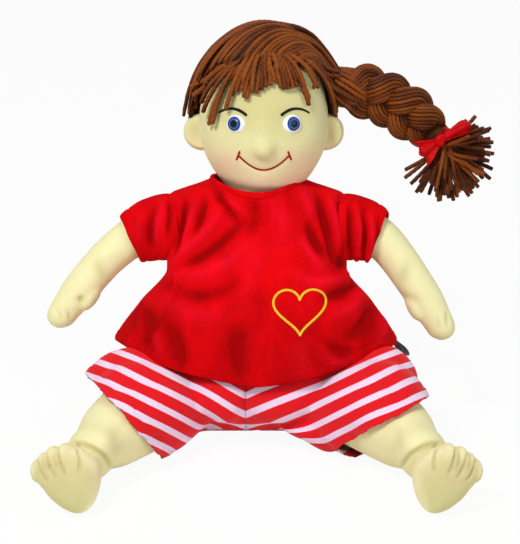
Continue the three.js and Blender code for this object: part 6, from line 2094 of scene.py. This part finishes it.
class DOLL_OT_limbs(bpy.types.Operator):
    """Makes the stuffed trunk, the arms, and the legs with their feet"""

    bl_idname = "doll.limbs"
    bl_label = "Trunk, arms and legs"

    def execute(self, context):
        make_torso()
        make_arms()
        make_legs()
        return {"FINISHED"}


class DOLL_OT_shirt(bpy.types.Operator):
    """Makes the velour shirt: panels, sleeves and neck band"""

    bl_idname = "doll.shirt"
    bl_label = "Shirt"

    def execute(self, context):
        make_shirt()
        make_sleeves()
        make_collar()
        return {"FINISHED"}


class DOLL_OT_trimmings(bpy.types.Operator):
    """Makes the stitched heart, the back closure and the blank side label"""

    bl_idname = "doll.trimmings"
    bl_label = "Heart, closure and label"

    def execute(self, context):
        make_heart()
        make_closure()
        make_label()
        return {"FINISHED"}


class DOLL_OT_shorts(bpy.types.Operator):
    """Makes the striped shorts and the elastic in their waist"""

    bl_idname = "doll.shorts"
    bl_label = "Shorts"

    def execute(self, context):
        make_shorts()
        make_elastic()
        return {"FINISHED"}


OPERATORS = [
    DOLL_OT_stage, DOLL_OT_limbs, DOLL_OT_head, DOLL_OT_face, DOLL_OT_hair, DOLL_OT_braid, DOLL_OT_bow,
    DOLL_OT_shirt, DOLL_OT_trimmings, DOLL_OT_shorts]


class DOLL_PT_panel(bpy.types.Panel):
    """Lists the doll's sizes and colours, and the operators that make its pieces"""

    bl_idname = "DOLL_PT_panel"
    bl_label = "Soft doll"
    bl_space_type = "VIEW_3D"
    bl_region_type = "UI"
    bl_category = "Doll"

    def draw(self, context):
        layout = self.layout
        for group in (context.scene.doll_sizes, context.scene.doll_colours):
            box = layout.box()
            for key in group.__annotations__:
                box.prop(group, key)
        for operator in OPERATORS:
            layout.operator(operator.bl_idname)


CLASSES = [DollColours, DollSizes, *OPERATORS, DOLL_PT_panel]


def register():
    """Adds the classes, and the two groups of settings to the scene."""
    for item in CLASSES:
        bpy.utils.register_class(item)
    bpy.types.Scene.doll_colours = PointerProperty(type=DollColours)
    bpy.types.Scene.doll_sizes = PointerProperty(type=DollSizes)


def unregister():
    """Takes the settings and the classes out again."""
    del bpy.types.Scene.doll_sizes
    del bpy.types.Scene.doll_colours
    for item in reversed(CLASSES):
        bpy.utils.unregister_class(item)


def main():
    """Registers the add-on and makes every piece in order."""
    register()
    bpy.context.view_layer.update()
    for operator in OPERATORS:
        group, name = operator.bl_idname.split(".")
        getattr(getattr(bpy.ops, group), name)()


if __name__ == "__main__":
    main()
